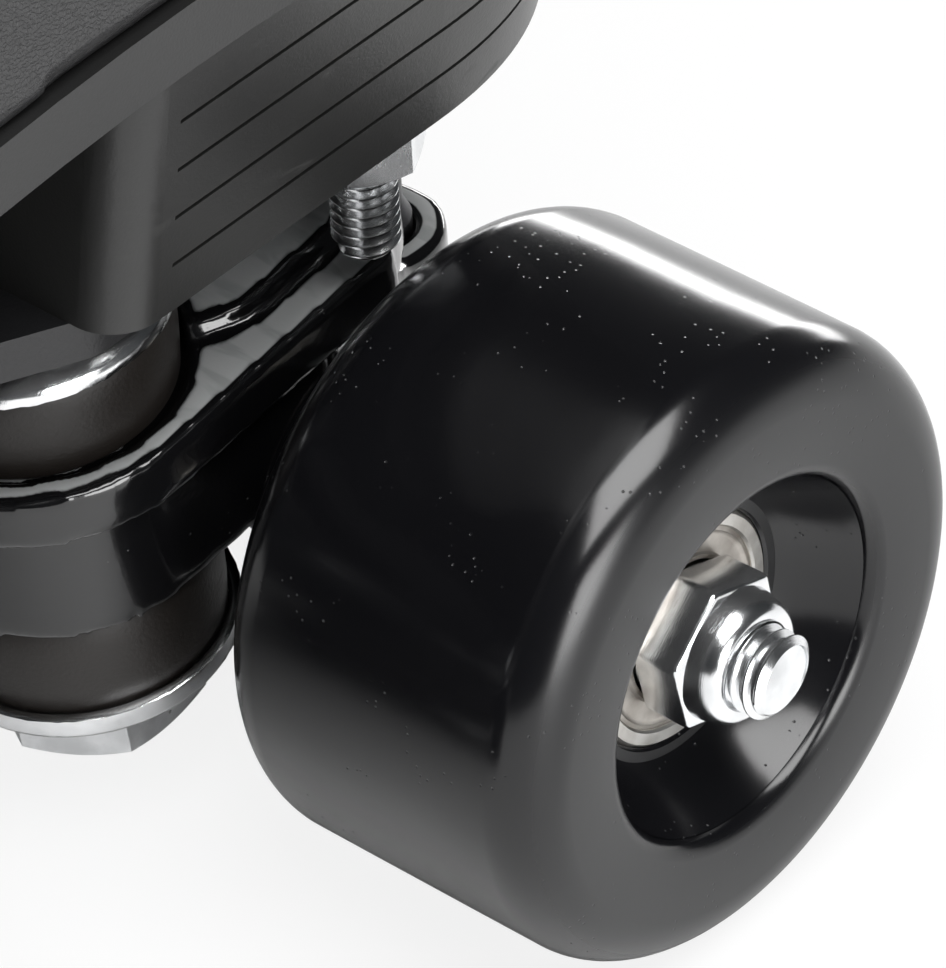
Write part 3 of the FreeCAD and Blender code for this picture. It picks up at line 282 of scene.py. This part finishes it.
zinc = make_plated("zinc", (0.62, 0.63, 0.64), (0.86, 0.87, 0.88), 0.14)
bright_zinc = make_plated("bright_zinc", (0.72, 0.73, 0.74), (0.93, 0.94, 0.95), 0.1, 0.12)
shield_steel = make_plated("shield_steel", (0.33, 0.30, 0.27), (0.56, 0.53, 0.49), 0.28)
ring_steel = make_plated("ring_steel", (0.45, 0.43, 0.40), (0.7, 0.69, 0.66), 0.2)
dark_steel = make_plated("dark_steel", (0.03, 0.03, 0.032), (0.07, 0.07, 0.075), 0.3)
aluminium = make_plated("aluminium", (0.6, 0.6, 0.61), (0.8, 0.8, 0.81), 0.25)

# %% Leather and cloth
def make_leather(name, dark, light, grain=2400):
    """Coated leather: a fine close grain under a smooth gloss, with broad soft creases."""
    finish = Finish(name, dark, 0.34, coat=0.25)
    creases = finish.cells(grain, "DISTANCE_TO_EDGE").ramp(0.0, 0.12)
    cloud = finish.noise(50, 4)
    broad = finish.noise(38, 3, (1, 1, 1.6), 0.8)
    finish.set("Base Color", finish.blend(cloud * creases, dark, light))
    finish.set("Roughness", 0.42 - creases * 0.1 + cloud * 0.1)
    finish.bump(creases * 0.3 + finish.noise(grain * 3, 3) * 0.1 + broad * 2.0, 0.0001)
    return finish.material

def make_cloth(name, dark, light, threads=1500):
    finish = Finish(name, dark, 0.8)
    across = finish.add("ShaderNodeTexWave", {"bands_direction": "DIAGONAL"}, {
        "Vector": finish.place(), "Scale": threads * 0.32, "Distortion": 2.0})
    fuzz = finish.noise(threads * 1.4, 3)
    finish.set("Base Color", finish.blend(across * 0.5 + fuzz * 0.5, dark, light))
    finish.set("Roughness", 0.75 + fuzz * 0.2)
    finish.bump(across * 0.6 + fuzz, 0.0002)
    return finish.material

leather = make_leather("leather", (0.006, 0.006, 0.0065), (0.016, 0.016, 0.017))
soft_leather = make_leather("soft_leather", (0.008, 0.008, 0.009), (0.02, 0.02, 0.021), 3000)
lining = make_cloth("lining", (0.035, 0.018, 0.06), (0.09, 0.05, 0.15))
thread_grey = make_moulded("thread_grey", (0.05, 0.05, 0.052), (0.1, 0.1, 0.105), 0.55, 6000, 0.00003)
webbing = make_cloth("webbing", (0.006, 0.006, 0.007), (0.02, 0.02, 0.022), 1100)

# %% Dress the frame's own nodes
NODE_FINISH = {
    "urethane": urethane, "bearing_steel": shield_steel, "aluminium": aluminium, "zinc_steel": zinc,
    "dark_steel": dark_steel, "black_casting": enamel, "cushion_rubber": cushion_rubber, "nylon": nylon,
    "stop_rubber": stop_rubber, "heel_rubber": heel_rubber, "sole_rubber": sole_rubber,
    "leather": leather, "tongue_leather": soft_leather, "lining": lining, "strap_webbing": webbing,
}
for part in frame["record"]["subparts"]:
    node = frame["nodes"][part["node"]]
    node.data.materials.clear()
    node.data.materials.append(NODE_FINISH[part["material_slot"]])

# %% [markdown]
# ## Modelling helpers
# Most of the truck and wheel is turned, so one helper draws a half section as a chain of extruded
# points and spins it.  A turned part is drawn once about the upright axis and then laid on its own
# axis; the place is applied to the mesh, so that the object stays at the origin.

# %% Turned pieces
KINGPIN_LEAN = math.radians(6.9)
KINGPIN_REACH = 20.8
DIRECTION = {"rear": 1, "front": -1}
MERGE = 0.000002
axle_height = wheel_middle["rear", "left"].z

def deselect():
    bpy.ops.object.select_all(action="DESELECT")

def edit():
    bpy.ops.object.mode_set(mode="EDIT")
    bpy.ops.mesh.select_mode(type="VERT")
    bpy.ops.mesh.select_all(action="SELECT")

def close_mesh(angle=32):
    """Merges doubles, turns the faces outwards, leaves edit mode and smooths the gentle edges."""
    bpy.ops.mesh.select_all(action="SELECT")
    bpy.ops.mesh.remove_doubles(threshold=MERGE)
    bpy.ops.mesh.normals_make_consistent(inside=False)
    bpy.ops.object.mode_set(mode="OBJECT")
    bpy.ops.object.shade_smooth_by_angle(angle=math.radians(angle))

def draw_points(name, points):
    """A chain of points, in millimetres, drawn by extruding one vertex; the plane's corners are merged."""
    deselect()
    bpy.ops.mesh.primitive_plane_add(size=MM, location=(0, 0, 0))
    piece = bpy.context.object
    piece.name = name
    edit()
    bpy.ops.mesh.merge(type="CENTER")
    first = Vector(points[0]) * MM
    bpy.ops.transform.translate(value=first)
    for before, after in zip(points, points[1:]):
        step = (Vector(after) - Vector(before)) * MM
        bpy.ops.mesh.extrude_region_move(TRANSFORM_OT_translate={"value": step})
    return piece

def lathe(name, section, steps=96, angle=32):
    """Spins a section of (radius, height) points about the upright axis."""
    piece = draw_points(name, [(radius, 0, height) for radius, height in section])
    bpy.ops.mesh.select_all(action="SELECT")
    bpy.ops.mesh.spin(steps=steps, angle=2 * math.pi, center=(0, 0, 0), axis=(0, 0, 1))
    close_mesh(angle)
    return piece

def arc(across, up, radius, start, end, count=8):
    """Points on a circle arc, with its angles in degrees."""
    turns = [math.radians(start + (end - start) * step / count) for step in range(count + 1)]
    return [(across + radius * math.cos(turn), up + radius * math.sin(turn)) for turn in turns]

def lay(piece, where):
    """Moves a piece to its place and applies that to its mesh."""
    deselect()
    piece.select_set(True)
    bpy.context.view_layer.objects.active = piece
    piece.matrix_world = where
    bpy.ops.object.transform_apply(location=True, rotation=True, scale=True)
    return piece

def dress(piece, material, slot, body, *replaced):
    """Gives a piece its finish and its body, and hides the plain nodes it stands for.  The slot is not
    used.
    """
    piece.data.materials.clear()
    piece.data.materials.append(material)
    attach(piece, body)
    if replaced:
        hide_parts(*replaced)

def join(name, pieces):
    """Joins pieces into one."""
    deselect()
    for piece in pieces:
        piece.select_set(True)
    bpy.context.view_layer.objects.active = pieces[0]
    bpy.ops.object.join()
    pieces[0].name = name
    return pieces[0]

def copy_of(piece, name):
    """A copy with its own mesh."""
    twin = piece.copy()
    twin.data = piece.data.copy()
    twin.name = name
    bpy.context.collection.objects.link(twin)
    return twin

def across_axle(end, side, station=0.0):
    """On a wheel's axis: outwards is the turned piece's up, a station in millimetres from its middle."""
    sign = SIDES[side]
    place = wheel_middle[end, side] + Vector((0, sign * station * MM, 0))
    return Matrix.Translation(place) @ Matrix.Rotation(-sign * math.pi / 2, 4, "X")

def on_kingpin(end, along=0.0, spin=0.0):
    """On a kingpin, a distance in millimetres up its axis from axle height."""
    direction = DIRECTION[end]
    x = wheel_middle[end, "left"].x + direction * (KINGPIN_REACH + along * math.sin(KINGPIN_LEAN)) * MM
    place = Vector((x, 0, axle_height + along * math.cos(KINGPIN_LEAN) * MM))
    lean = Matrix.Rotation(direction * KINGPIN_LEAN, 4, "Y")
    return Matrix.Translation(place) @ lean @ Matrix.Rotation(spin, 4, "Z")

# %% [markdown]
# ## Wheels
# A skate wheel is cast urethane.  Its tread rolls into the faces through a broad shoulder, and each
# face is dished down to the bearing with a soft lip round the dish.  It is one turned section, so it
# is spun, with enough steps that the silhouette stays round close up.

# %% The wheel's section
FACE = wheel_half / MM
TREAD = wheel_radius / MM
HUB = 10.0
SEAT = 11.0

def wheel_half_section():
    """From the bearing seat out over the dish, the lip and the shoulder to the tread."""
    dish = [(12.2 + 4.3 * t, HUB + (FACE - 1.5 - HUB) * (0.6 * t + 0.4 * t * t)) for t in
            [step / 6 for step in range(7)]]
    lip = arc(18.3, FACE - 1.9, 1.75, 172, 96, 7)
    shoulder = arc(TREAD - 5.4, FACE - 5.4, 5.4, 90, 4, 14)
    return [(9.2, 3.0), (SEAT, 3.0), (SEAT, HUB - 0.25), (SEAT + 0.25, HUB)] + dish + lip + shoulder

outer_half = wheel_half_section()
inner_half = [(radius, -height) for radius, height in outer_half]
tread_line = [(TREAD, -6.0), (TREAD, 0.0), (TREAD, 6.0)]
whole = inner_half + tread_line + outer_half[::-1]
wheel_pattern = lathe("wheel_pattern", whole + [whole[0]], 192, 40)
print("wheel section", len(whole), "points")

# %% Four wheels
for (end, side), place in wheel_middle.items():
    wheel = copy_of(wheel_pattern, f"cast_wheel_{end}_{side}")
    lay(wheel, across_axle(end, side))
    dress(wheel, urethane, "urethane", f"wheel_{end}_{side}_body", f"wheel_{end}_{side}")
bpy.data.objects.remove(wheel_pattern)

# %% [markdown]
# ## Bearings
# A ball bearing shows three rings from outside: the ground outer ring, a pressed shield sitting a
# little lower with a stamped step, and the inner ring that the nut clamps.  Each is its own section.

# %% Bearing sections
outer_section = [(10.98, -3.1), (10.98, 3.1), (10.6, 3.5), (9.55, 3.5), (9.35, 3.3), (9.35, 2.9),
                 (9.1, 2.6), (9.1, -2.6), (9.35, -2.9), (9.35, -3.3), (9.55, -3.5), (10.6, -3.5),
                 (10.98, -3.1)]
shield_section = [(6.3, 2.85), (9.34, 2.85), (9.34, 3.12), (8.95, 3.22), (8.7, 3.02), (8.45, 2.98),
                  (6.95, 3.04), (6.75, 3.22), (6.4, 3.26), (6.3, 3.18), (6.3, 2.85)]
inner_section = [(4.02, -3.3), (4.02, 3.3), (4.25, 3.5), (5.7, 3.5), (5.98, 3.25), (5.98, -3.25),
                 (5.7, -3.5), (4.25, -3.5), (4.02, -3.3)]
BEARING_STATION = 6.5

def bearing_set(end, side):
    """Two bearings of one wheel: rings that turn with the wheel, shields, and rings on the axle."""
    tag = f"{end}_{side}"
    rings, shields, inners = [], [], []
    for number, station in enumerate((BEARING_STATION, -BEARING_STATION)):
        facing = across_axle(end, side, station) @ Matrix.Rotation(math.pi * number, 4, "X")
        rings.append(lay(lathe("ring", outer_section), facing))
        shields.append(lay(lathe("shield", shield_section), facing))
        inners.append(lay(lathe("inner", inner_section), facing))
    body = f"wheel_{tag}_body"
    dress(join(f"bearing_rings_{tag}", rings), ring_steel, "bearing_steel", body,
          f"bearing_outer_rings_{tag}")
    dress(join(f"bearing_shields_{tag}", shields), shield_steel, "bearing_steel", body)
    dress(join(f"inner_rings_{tag}", inners), ring_steel, "bearing_steel", f"truck_{end}",
          f"bearing_inner_rings_{tag}")

for end, side in wheel_middle:
    bearing_set(end, side)

# %% [markdown]
# ## Threads
# A thread is one ridge wound on a core.  The ridge's small section is wound by a Screw modifier, its
# two open ends are filled, and the core is turned.  Thread is made at the axles' ends and on the
# mounting bolts under their nuts.

# %% Thread ridge
def ridge(core, crest, pitch, turns, start):
    """A wound ridge that starts at a height and climbs a whole number of turns."""
    section = [(core - 0.15, 0, 0.02 * pitch), (crest, 0, 0.42 * pitch), (crest, 0, 0.54 * pitch),
               (core - 0.15, 0, 0.94 * pitch), (core - 0.15, 0, 0.02 * pitch)]
    piece = draw_points("ridge", section)
    bpy.ops.mesh.select_all(action="SELECT")
    bpy.ops.mesh.remove_doubles(threshold=MERGE)
    bpy.ops.object.mode_set(mode="OBJECT")
    bpy.ops.object.modifier_add(type="SCREW")
    winding = piece.modifiers[-1]
    winding.screw_offset = pitch * MM
    winding.iterations = turns
    winding.steps = winding.render_steps = 40
    winding.use_merge_vertices = False
    bpy.ops.object.modifier_apply(modifier=winding.name)
    edit()
    bpy.ops.mesh.fill_holes(sides=0)
    close_mesh(50)
    return lay(piece, Matrix.Translation((0, 0, start * MM)))

def bolt(name, section, threads):
    """A turned core with its ridges: each is core radius, crest radius, pitch, turns and start."""
    return join(name, [lathe(name, section, 64)] + [ridge(*thread) for thread in threads])

# %% Axles
AXLE_TIP = 62.6
axle_section = [(0, -AXLE_TIP), (3.2, -AXLE_TIP), (3.45, -AXLE_TIP + 0.3), (3.45, -52.5), (3.97, -52.2),
                (3.97, 52.2), (3.45, 52.5), (3.45, AXLE_TIP - 0.3), (3.2, AXLE_TIP), (0, AXLE_TIP)]
for end in ENDS:
    axle = bolt(f"threaded_axle_{end}", axle_section,
                [(3.45, 3.98, 1.25, 7, AXLE_TIP - 9.1), (3.45, 3.98, 1.25, 7, 0.35 - AXLE_TIP)])
    centre = Vector((wheel_middle[end, "left"].x, 0, axle_height))
    lay(axle, Matrix.Translation(centre) @ Matrix.Rotation(-math.pi / 2, 4, "X"))
    dress(axle, zinc, "zinc_steel", f"truck_{end}", f"axle_{end}")

# %% Mounting bolts
HEAD = 6
BOLT_CORE = 2.45

def mounting_bolts(end):
    """Low round heads, plain shanks and, below their nuts, M6 threads."""
    low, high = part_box(f"mounting_bolts_{end}")
    nut_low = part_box("mounting_nuts")[0].z
    drop = (high.z - low.z) / MM
    shown = (nut_low - low.z) / MM
    section = [(0, 0), (2.1, 0), (BOLT_CORE, 0.4), (BOLT_CORE, shown), (2.95, shown + 0.2),
               (2.95, drop - 1.8), (HEAD, drop - 1.8), (HEAD, drop - 1.1), (5.6, drop - 0.6),
               (4.4, drop), (0, drop)]
    turns = int(shown - 0.4)
    middles = [low.x + HEAD * MM] if end == "rear" else [low.x + HEAD * MM, high.x - HEAD * MM]
    pieces = []
    for x in middles:
        for y in (low.y + HEAD * MM, high.y - HEAD * MM):
            piece = bolt("bolt", section, [(BOLT_CORE, 2.98, 1.0, turns, 0.35)])
            pieces.append(lay(piece, Matrix.Translation((x, y, low.z))))
    dress(join(f"threaded_bolts_{end}", pieces), bright_zinc, "zinc_steel", "chassis",
          f"mounting_bolts_{end}")
    print(f"{end} mounting bolts:", len(pieces), "with", turns, "turns of thread")

for end in ENDS:
    mounting_bolts(end)

# %% [markdown]
# ## Kingpin stack
# Above and below the hanger a rubber cushion is held by a pressed washer.  The upper washer is domed
# and its stamped lip keeps a small burr; the lower one is a shallow cup.  They are turned sections,
# and the burr is a slight random lift of the lip's points.

# %% Washers and cushions
DOME_FOOT = 28.0
dome_underside = [(9.0 + 4.2 * t, -2.0 * t ** 1.25) for t in (0.25, 0.5, 0.75, 1.0)]
dome_section = [(5.0, 0.0), (9.0, 0.0)] + dome_underside + [
    (13.25, -2.35), (13.95, -2.38), (13.98, -1.75), (13.6, -1.1), (12.5, -0.3), (11.0, 0.55),
    (9.8, 1.05), (9.0, 1.18), (5.0, 1.18), (5.0, 0.0)]
cup_section = [(5.0, 0.0), (12.9, 0.0), (13.1, 0.2), (13.15, 1.45), (13.6, 1.48), (13.95, 1.3),
               (13.95, -0.3), (13.6, -0.9), (13.0, -1.18), (5.0, -1.18), (5.0, 0.0)]
UPPER_SEAT, LOWER_SEAT, CUP_TOP = 15.8, -1.0, -12.7
upper_rubber = [(5.5, 0.1), (12.2, 0.1), (12.7, 0.7), (12.95, 3.0), (13.12, 5.0), (13.1, 7.0),
                (12.95, 8.6), (12.6, 9.5), (8.7, 12.1), (5.5, 12.1), (5.5, 0.1)]
lower_rubber = [(5.5, -0.1), (12.2, -0.1), (12.75, -0.8), (13.0, -3.4), (13.12, -5.8), (13.0, -8.4),
                (12.7, -11.0), (12.3, -11.6), (5.5, -11.6), (5.5, -0.1)]

def roughen_lip(piece, reach, amount):
    """Lifts the outermost points a little at random, as a stamped edge is left."""
    draw = random.Random(7)
    for vertex in piece.data.vertices:
        if Vector((vertex.co.x, vertex.co.y)).length > reach * MM:
            shift = Vector((draw.uniform(-1, 1), draw.uniform(-1, 1), draw.uniform(-1, 1)))
            vertex.co += shift * amount * MM

for end in ENDS:
    dome = lathe("dome", dome_section, 128, 40)
    roughen_lip(dome, 13.9, 0.07)
    cup = lathe("cup", cup_section, 128, 40)
    roughen_lip(cup, 13.9, 0.05)
    washers = [lay(dome, on_kingpin(end, DOME_FOOT)), lay(cup, on_kingpin(end, CUP_TOP))]
    dress(join(f"pressed_washers_{end}", washers), bright_zinc, "zinc_steel", "chassis",
          f"cup_washers_{end}")
    for name, section, seat in (("upper", upper_rubber, UPPER_SEAT), ("lower", lower_rubber, LOWER_SEAT)):
        rubber = lay(lathe("rubber", section, 96, 50), on_kingpin(end, seat))
        rubber.name = f"{name}_rubber_{end}"
        dress(rubber, cushion_rubber, "cushion_rubber", "chassis", f"{name}_cushion_{end}")

# %% [markdown]
# ## Truck hangers
# A hanger is a casting, so nothing on it is sharp.  A copy of the exact shape is voxel remeshed and
# relaxed, which rounds each corner as casting and the thick gloss coat do.

# %% Castings
def soft_copy(node, name, voxel, relax):
    """A merged copy of a node, remeshed to even faces and relaxed."""
    deselect()
    piece = copy_of(frame["nodes"][node], name)
    piece.parent = None
    piece.select_set(True)
    bpy.context.view_layer.objects.active = piece
    edit()
    bpy.ops.mesh.remove_doubles(threshold=0.00001)
    bpy.ops.object.mode_set(mode="OBJECT")
    bpy.ops.object.modifier_add(type="REMESH")
    mesher = piece.modifiers[-1]
    mesher.mode = "VOXEL"
    mesher.voxel_size = voxel * MM
    bpy.ops.object.modifier_apply(modifier=mesher.name)
    bpy.ops.object.modifier_add(type="SMOOTH")
    easing = piece.modifiers[-1]
    easing.factor = 0.5
    easing.iterations = relax
    bpy.ops.object.modifier_apply(modifier=easing.name)
    bpy.ops.object.shade_smooth()
    print(name, len(piece.data.polygons), "faces")
    return piece

for end in ENDS:
    casting = soft_copy(f"hanger_{end}", f"cast_hanger_{end}", 0.5, 14)
    dress(casting, enamel, "black_casting", f"truck_{end}", f"hanger_{end}")

# %% [markdown]
# ## Lock nuts
# The axle's lock nut is a low hexagon under a rounded collar that holds its nylon ring.  The hexagon
# is a six sided cylinder with bevelled edges, and the collar is a second, turned section.

# %% Lock nuts on the axles
HEX_CORNER = 13 / math.sqrt(3)
collar_section = [(4.0, 3.6), (6.35, 3.6), (6.35, 4.2), (6.15, 4.9), (5.9, 6.2), (5.6, 7.2),
                  (5.1, 7.8), (4.5, 7.98), (4.15, 7.9), (4.0, 7.6), (4.0, 3.6)]
NUT_SPIN = math.radians(12)

def hexagon(name, corner, height, bevel):
    """A hexagon standing on zero, its edges rounded off."""
    deselect()
    bpy.ops.mesh.primitive_cylinder_add(vertices=6, radius=corner * MM, depth=height * MM,
                                        location=(0, 0, height * MM / 2))
    piece = bpy.context.object
    piece.name = name
    bpy.ops.object.transform_apply(location=True, rotation=True, scale=True)
    bpy.ops.object.modifier_add(type="BEVEL")
    rounding = piece.modifiers[-1]
    rounding.width = bevel * MM
    rounding.segments = 4
    bpy.ops.object.modifier_apply(modifier=rounding.name)
    bpy.ops.object.shade_smooth_by_angle(angle=math.radians(28))
    return piece

for end, side in wheel_middle:
    tag = f"{end}_{side}"
    parts = [hexagon("hexagon", HEX_CORNER - 0.1, 5.0, 0.55), lathe("collar", collar_section, 96, 45)]
    where = across_axle(end, side, HUB) @ Matrix.Rotation(NUT_SPIN, 4, "Z")
    nut = lay(join(f"lock_nut_{tag}", parts), where)
    dress(nut, bright_zinc, "zinc_steel", f"truck_{end}", f"axle_nut_{tag}")

# %% [markdown]
# ## The boot
# Leather and padding have no hard edges.  Each soft piece starts as a remeshed copy of its exact
# shape, relaxed so its edges roll over.  The tongue and the collar's padding are then quilted: points
# near a seam sink in, as stuffing does between rows of stitches.

# %% Quilting
def quilt(piece, rows, width, depth):
    """Sinks the surface along level rows, in metres above the ground, each a width wide."""
    normals = [vertex.normal.copy() for vertex in piece.data.vertices]
    for vertex, normal in zip(piece.data.vertices, normals):
        near = min(abs(vertex.co.z - row) for row in rows)
        vertex.co -= normal * math.exp(-(near / width) ** 2) * depth
    piece.data.update()

def rows_between(node, count):
    low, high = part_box(node)
    return [low.z + (high.z - low.z) * (number + 0.5) / count for number in range(count)]

upper = soft_copy("boot_upper", "leather_upper", 1.35, 5)
dress(upper, leather, "leather", "chassis", "boot_upper")

tongue = soft_copy("tongue", "padded_tongue", 1.1, 10)
quilt(tongue, rows_between("tongue", 9), 0.0028, 0.0011)
dress(tongue, soft_leather, "tongue_leather", "chassis", "tongue")

collar = soft_copy("collar_padding", "padded_collar", 1.0, 10)
quilt(collar, rows_between("collar_padding", 3), 0.003, 0.0014)
dress(collar, lining, "lining", "chassis", "collar_padding")

bed = soft_copy("insole", "foam_insole", 1.3, 6)
dress(bed, lining, "lining", "chassis", "insole")

# %% [markdown]
# ## Collar binding
# A soft rolled strip binds the boot's top edge.  Its path is found by rays cast inwards just under the
# dipping edge, starting low so that the first ray meets the shell where the edge dips.  It is drawn
# as a chain of points, and given a round section as a curve before it is made a mesh again.

# %% Collar binding
COLLAR = 0.250
DIP, DIP_RADIUS, DIP_MIDDLE = 0.012, 0.090, -0.0797
BINDING = 2.3
SHELL_MIDDLE = -0.092
THROAT = 34
RAY_REACH = 0.12
LEAST_REACH = 0.02
UNDER_EDGE = 0.0045
BINDING_RISE = 0.0033
HALF_WALL = 0.0014

def edge_height(x):
    """Height of the collar's edge, which dips at the ankle."""
    reach = abs(x - DIP_MIDDLE)
    if reach >= DIP_RADIUS:
        return COLLAR
    return min(COLLAR, COLLAR - DIP + DIP_RADIUS - math.sqrt(DIP_RADIUS ** 2 - reach ** 2))

def binding_path(steps=72):
    """Points along the middle of the wall, a little under its edge, from throat to throat."""
    surface = BVHTree.FromObject(upper, bpy.context.evaluated_depsgraph_get())
    path = []
    for step in range(steps + 1):
        turn = math.radians(THROAT + (360 - 2 * THROAT) * step / steps)
        way = Vector((math.cos(turn), math.sin(turn), 0))
        height = COLLAR - DIP - 0.006
        for _ in range(4):
            start = Vector((SHELL_MIDDLE, 0, height)) + way * RAY_REACH
            place, _, _, _ = surface.ray_cast(start, -way)
            if place is None:
                break
            height = edge_height(place.x) - UNDER_EDGE
        if place is not None and (place - Vector((SHELL_MIDDLE, 0, height))).dot(way) > LEAST_REACH:
            inner = place - way * HALF_WALL
            path.append((inner.x / MM, inner.y / MM, (height + BINDING_RISE) / MM))
    return path

path = binding_path()
binding = draw_points("collar_binding", path)
bpy.ops.object.mode_set(mode="OBJECT")
bpy.ops.object.convert(target="CURVE")
binding = bpy.context.object
binding.data.bevel_depth = BINDING * MM
binding.data.bevel_resolution = 5
binding.data.use_fill_caps = True
bpy.ops.object.convert(target="MESH")
binding = bpy.context.object
edit()
close_mesh(60)
dress(binding, soft_leather, "leather", "chassis")
print("binding through", len(path), "points")

# %% [markdown]
# ## Straps and seams
# Three webbing straps close the boot over its tongue.  Each keeps the exact band's path, with its
# edges rolled.  Rows of stitches follow the seams of the leather: a stitch is a tiny stretched bead
# laid where a line in side view meets the shell.

# %% Stitches
BESIDE = 0.09
OWN_SIDE = 0.004
PROUD = 0.00005
STITCH_PITCH = 0.0031

def bead():
    """One stitch: a low ball stretched along x."""
    deselect()
    bpy.ops.mesh.primitive_uv_sphere_add(segments=8, ring_count=5, radius=MM)
    piece = bpy.context.object
    edit()
    bpy.ops.transform.resize(value=(1.15, 0.36, 0.36))
    bpy.ops.object.mode_set(mode="OBJECT")
    return piece

def stitch_row(name, target, line, pitch, material, slot):
    """Lays stitches where sideways rays from a line of (x, z) points meet a piece, on both sides."""
    pattern = bead()
    surface = BVHTree.FromObject(target, bpy.context.evaluated_depsgraph_get())
    spots = []
    for sign in (1, -1):
        walked, last = 0.0, None
        for x, z in line:
            start = Vector((x, sign * BESIDE, z))
            place, normal, _, _ = surface.ray_cast(start, Vector((0, -sign, 0)))
            if place is None or place.y * sign < OWN_SIDE:
                last = None
                continue
            if last is not None:
                walked += (place - last).length
            if last is not None and walked >= pitch:
                walked = 0.0
                spots.append((place, normal, (place - last).normalized()))
            last = place
    beads = []
    for place, normal, along in spots:
        side = normal.cross(along).normalized()
        along = side.cross(normal).normalized()
        turn = Matrix((along, side, normal)).transposed().to_4x4()
        twin = copy_of(pattern, "stitch")
        twin.matrix_world = Matrix.Translation(place + normal * PROUD) @ turn
        beads.append(twin)
    bpy.data.objects.remove(pattern)
    row = join(name, beads)
    deselect()
    row.select_set(True)
    bpy.context.view_layer.objects.active = row
    bpy.ops.object.transform_apply(location=True, rotation=True, scale=True)
    bpy.ops.object.shade_smooth()
    dress(row, material, slot, "chassis")
    print(name, len(spots), "stitches")

def line_between(start, end, bow=0.0, count=260):
    """Points of a shallow arc in side view."""
    (x0, z0), (x1, z1) = start, end
    length = math.hypot(x1 - x0, z1 - z0)
    out = (-(z1 - z0) / length, (x1 - x0) / length)
    points = []
    for step in range(count + 1):
        t = step / count
        rise = bow * 4 * t * (1 - t)
        points.append((x0 + (x1 - x0) * t + out[0] * rise, z0 + (z1 - z0) * t + out[1] * rise))
    return points

# %% Straps and seams
for strap in ("strap_lower", "strap_middle", "strap_top"):
    band = soft_copy(strap, f"webbing_{strap}", 0.75, 5)
    dress(band, webbing, "strap_webbing", "chassis", strap)

SEAMS = {
    "counter_seam": ((-0.070, 0.104), (-0.052, 0.236), 0.010),
    "counter_seam_inner": ((-0.073, 0.104), (-0.055, 0.236), 0.010),
    "collar_seam": ((-0.128, 0.212), (-0.062, 0.214), -0.004),
    "vamp_seam": ((0.052, 0.082), (0.018, 0.116), 0.006),
    "vamp_seam_inner": ((0.055, 0.083), (0.021, 0.117), 0.006),
    "toe_seam": ((0.088, 0.082), (0.070, 0.112), -0.004),
}
for name, (start, end, bow) in SEAMS.items():
    stitch_row(name, upper, line_between(start, end, bow), STITCH_PITCH, thread_grey, "leather")

# %% [markdown]
# ## Light
# Black gloss shows the room more than itself, so the lights are placed by what they mirror in: a wide
# panel low behind the skate edges the treads, one overhead brightens the plated steel, and one on the
# outer side draws the thin line along the wheel's shoulder.  The floor is plain and pale.

# %% Floor and lights
def area_light(name, toward, distance, width, height, power):
    """A soft panel in a direction from the rear wheel, facing it."""
    aim = wheel_middle["rear", "left"]
    place = aim + Vector(toward).normalized() * distance
    bpy.ops.object.light_add(type="AREA", location=place)
    lamp = bpy.context.object
    lamp.name = name
    lamp.rotation_euler = (place - aim).to_track_quat("Z", "Y").to_euler()
    lamp.data.shape = "RECTANGLE"
    lamp.data.size = width
    lamp.data.size_y = height
    lamp.data.energy = power

def make_floor():
    bpy.ops.mesh.primitive_plane_add(size=12)
    floor = bpy.context.object
    floor.name = "studio_floor"
    finish = Finish("studio_floor", (0.8, 0.8, 0.8), 0.6)
    seen = finish.add("ShaderNodeLightPath", output="Is Camera Ray")
    glow = finish.add("ShaderNodeEmission", None, {"Color": (1, 1, 1, 1), "Strength": 1.0})
    plain = Value(finish, finish.shader.outputs[0])
    mixed = finish.add("ShaderNodeMixShader", None, {0: seen * 0.85, 1: plain, 2: glow})
    output = finish.tree.nodes["Material Output"]
    finish.tree.links.new(mixed.socket, output.inputs["Surface"])
    floor.data.materials.append(finish.material)

def make_room():
    world = bpy.data.worlds.new("studio")
    world.use_nodes = True
    background = world.node_tree.nodes["Background"]
    background.inputs["Color"].default_value = (0.9, 0.95, 1.0, 1)
    background.inputs["Strength"].default_value = 0.04
    bpy.context.scene.world = world
    bpy.context.scene.view_settings.view_transform = "Standard"

make_floor()
make_room()
area_light("panel_behind", (-0.84, -0.52, 0.0), 1.3, 1.5, 0.36, 17)
area_light("panel_over", (0.10, 0.32, 1.0), 1.1, 0.8, 0.9, 19)
area_light("panel_outer", (0.30, 0.90, 0.25), 1.1, 0.5, 0.6, 9)
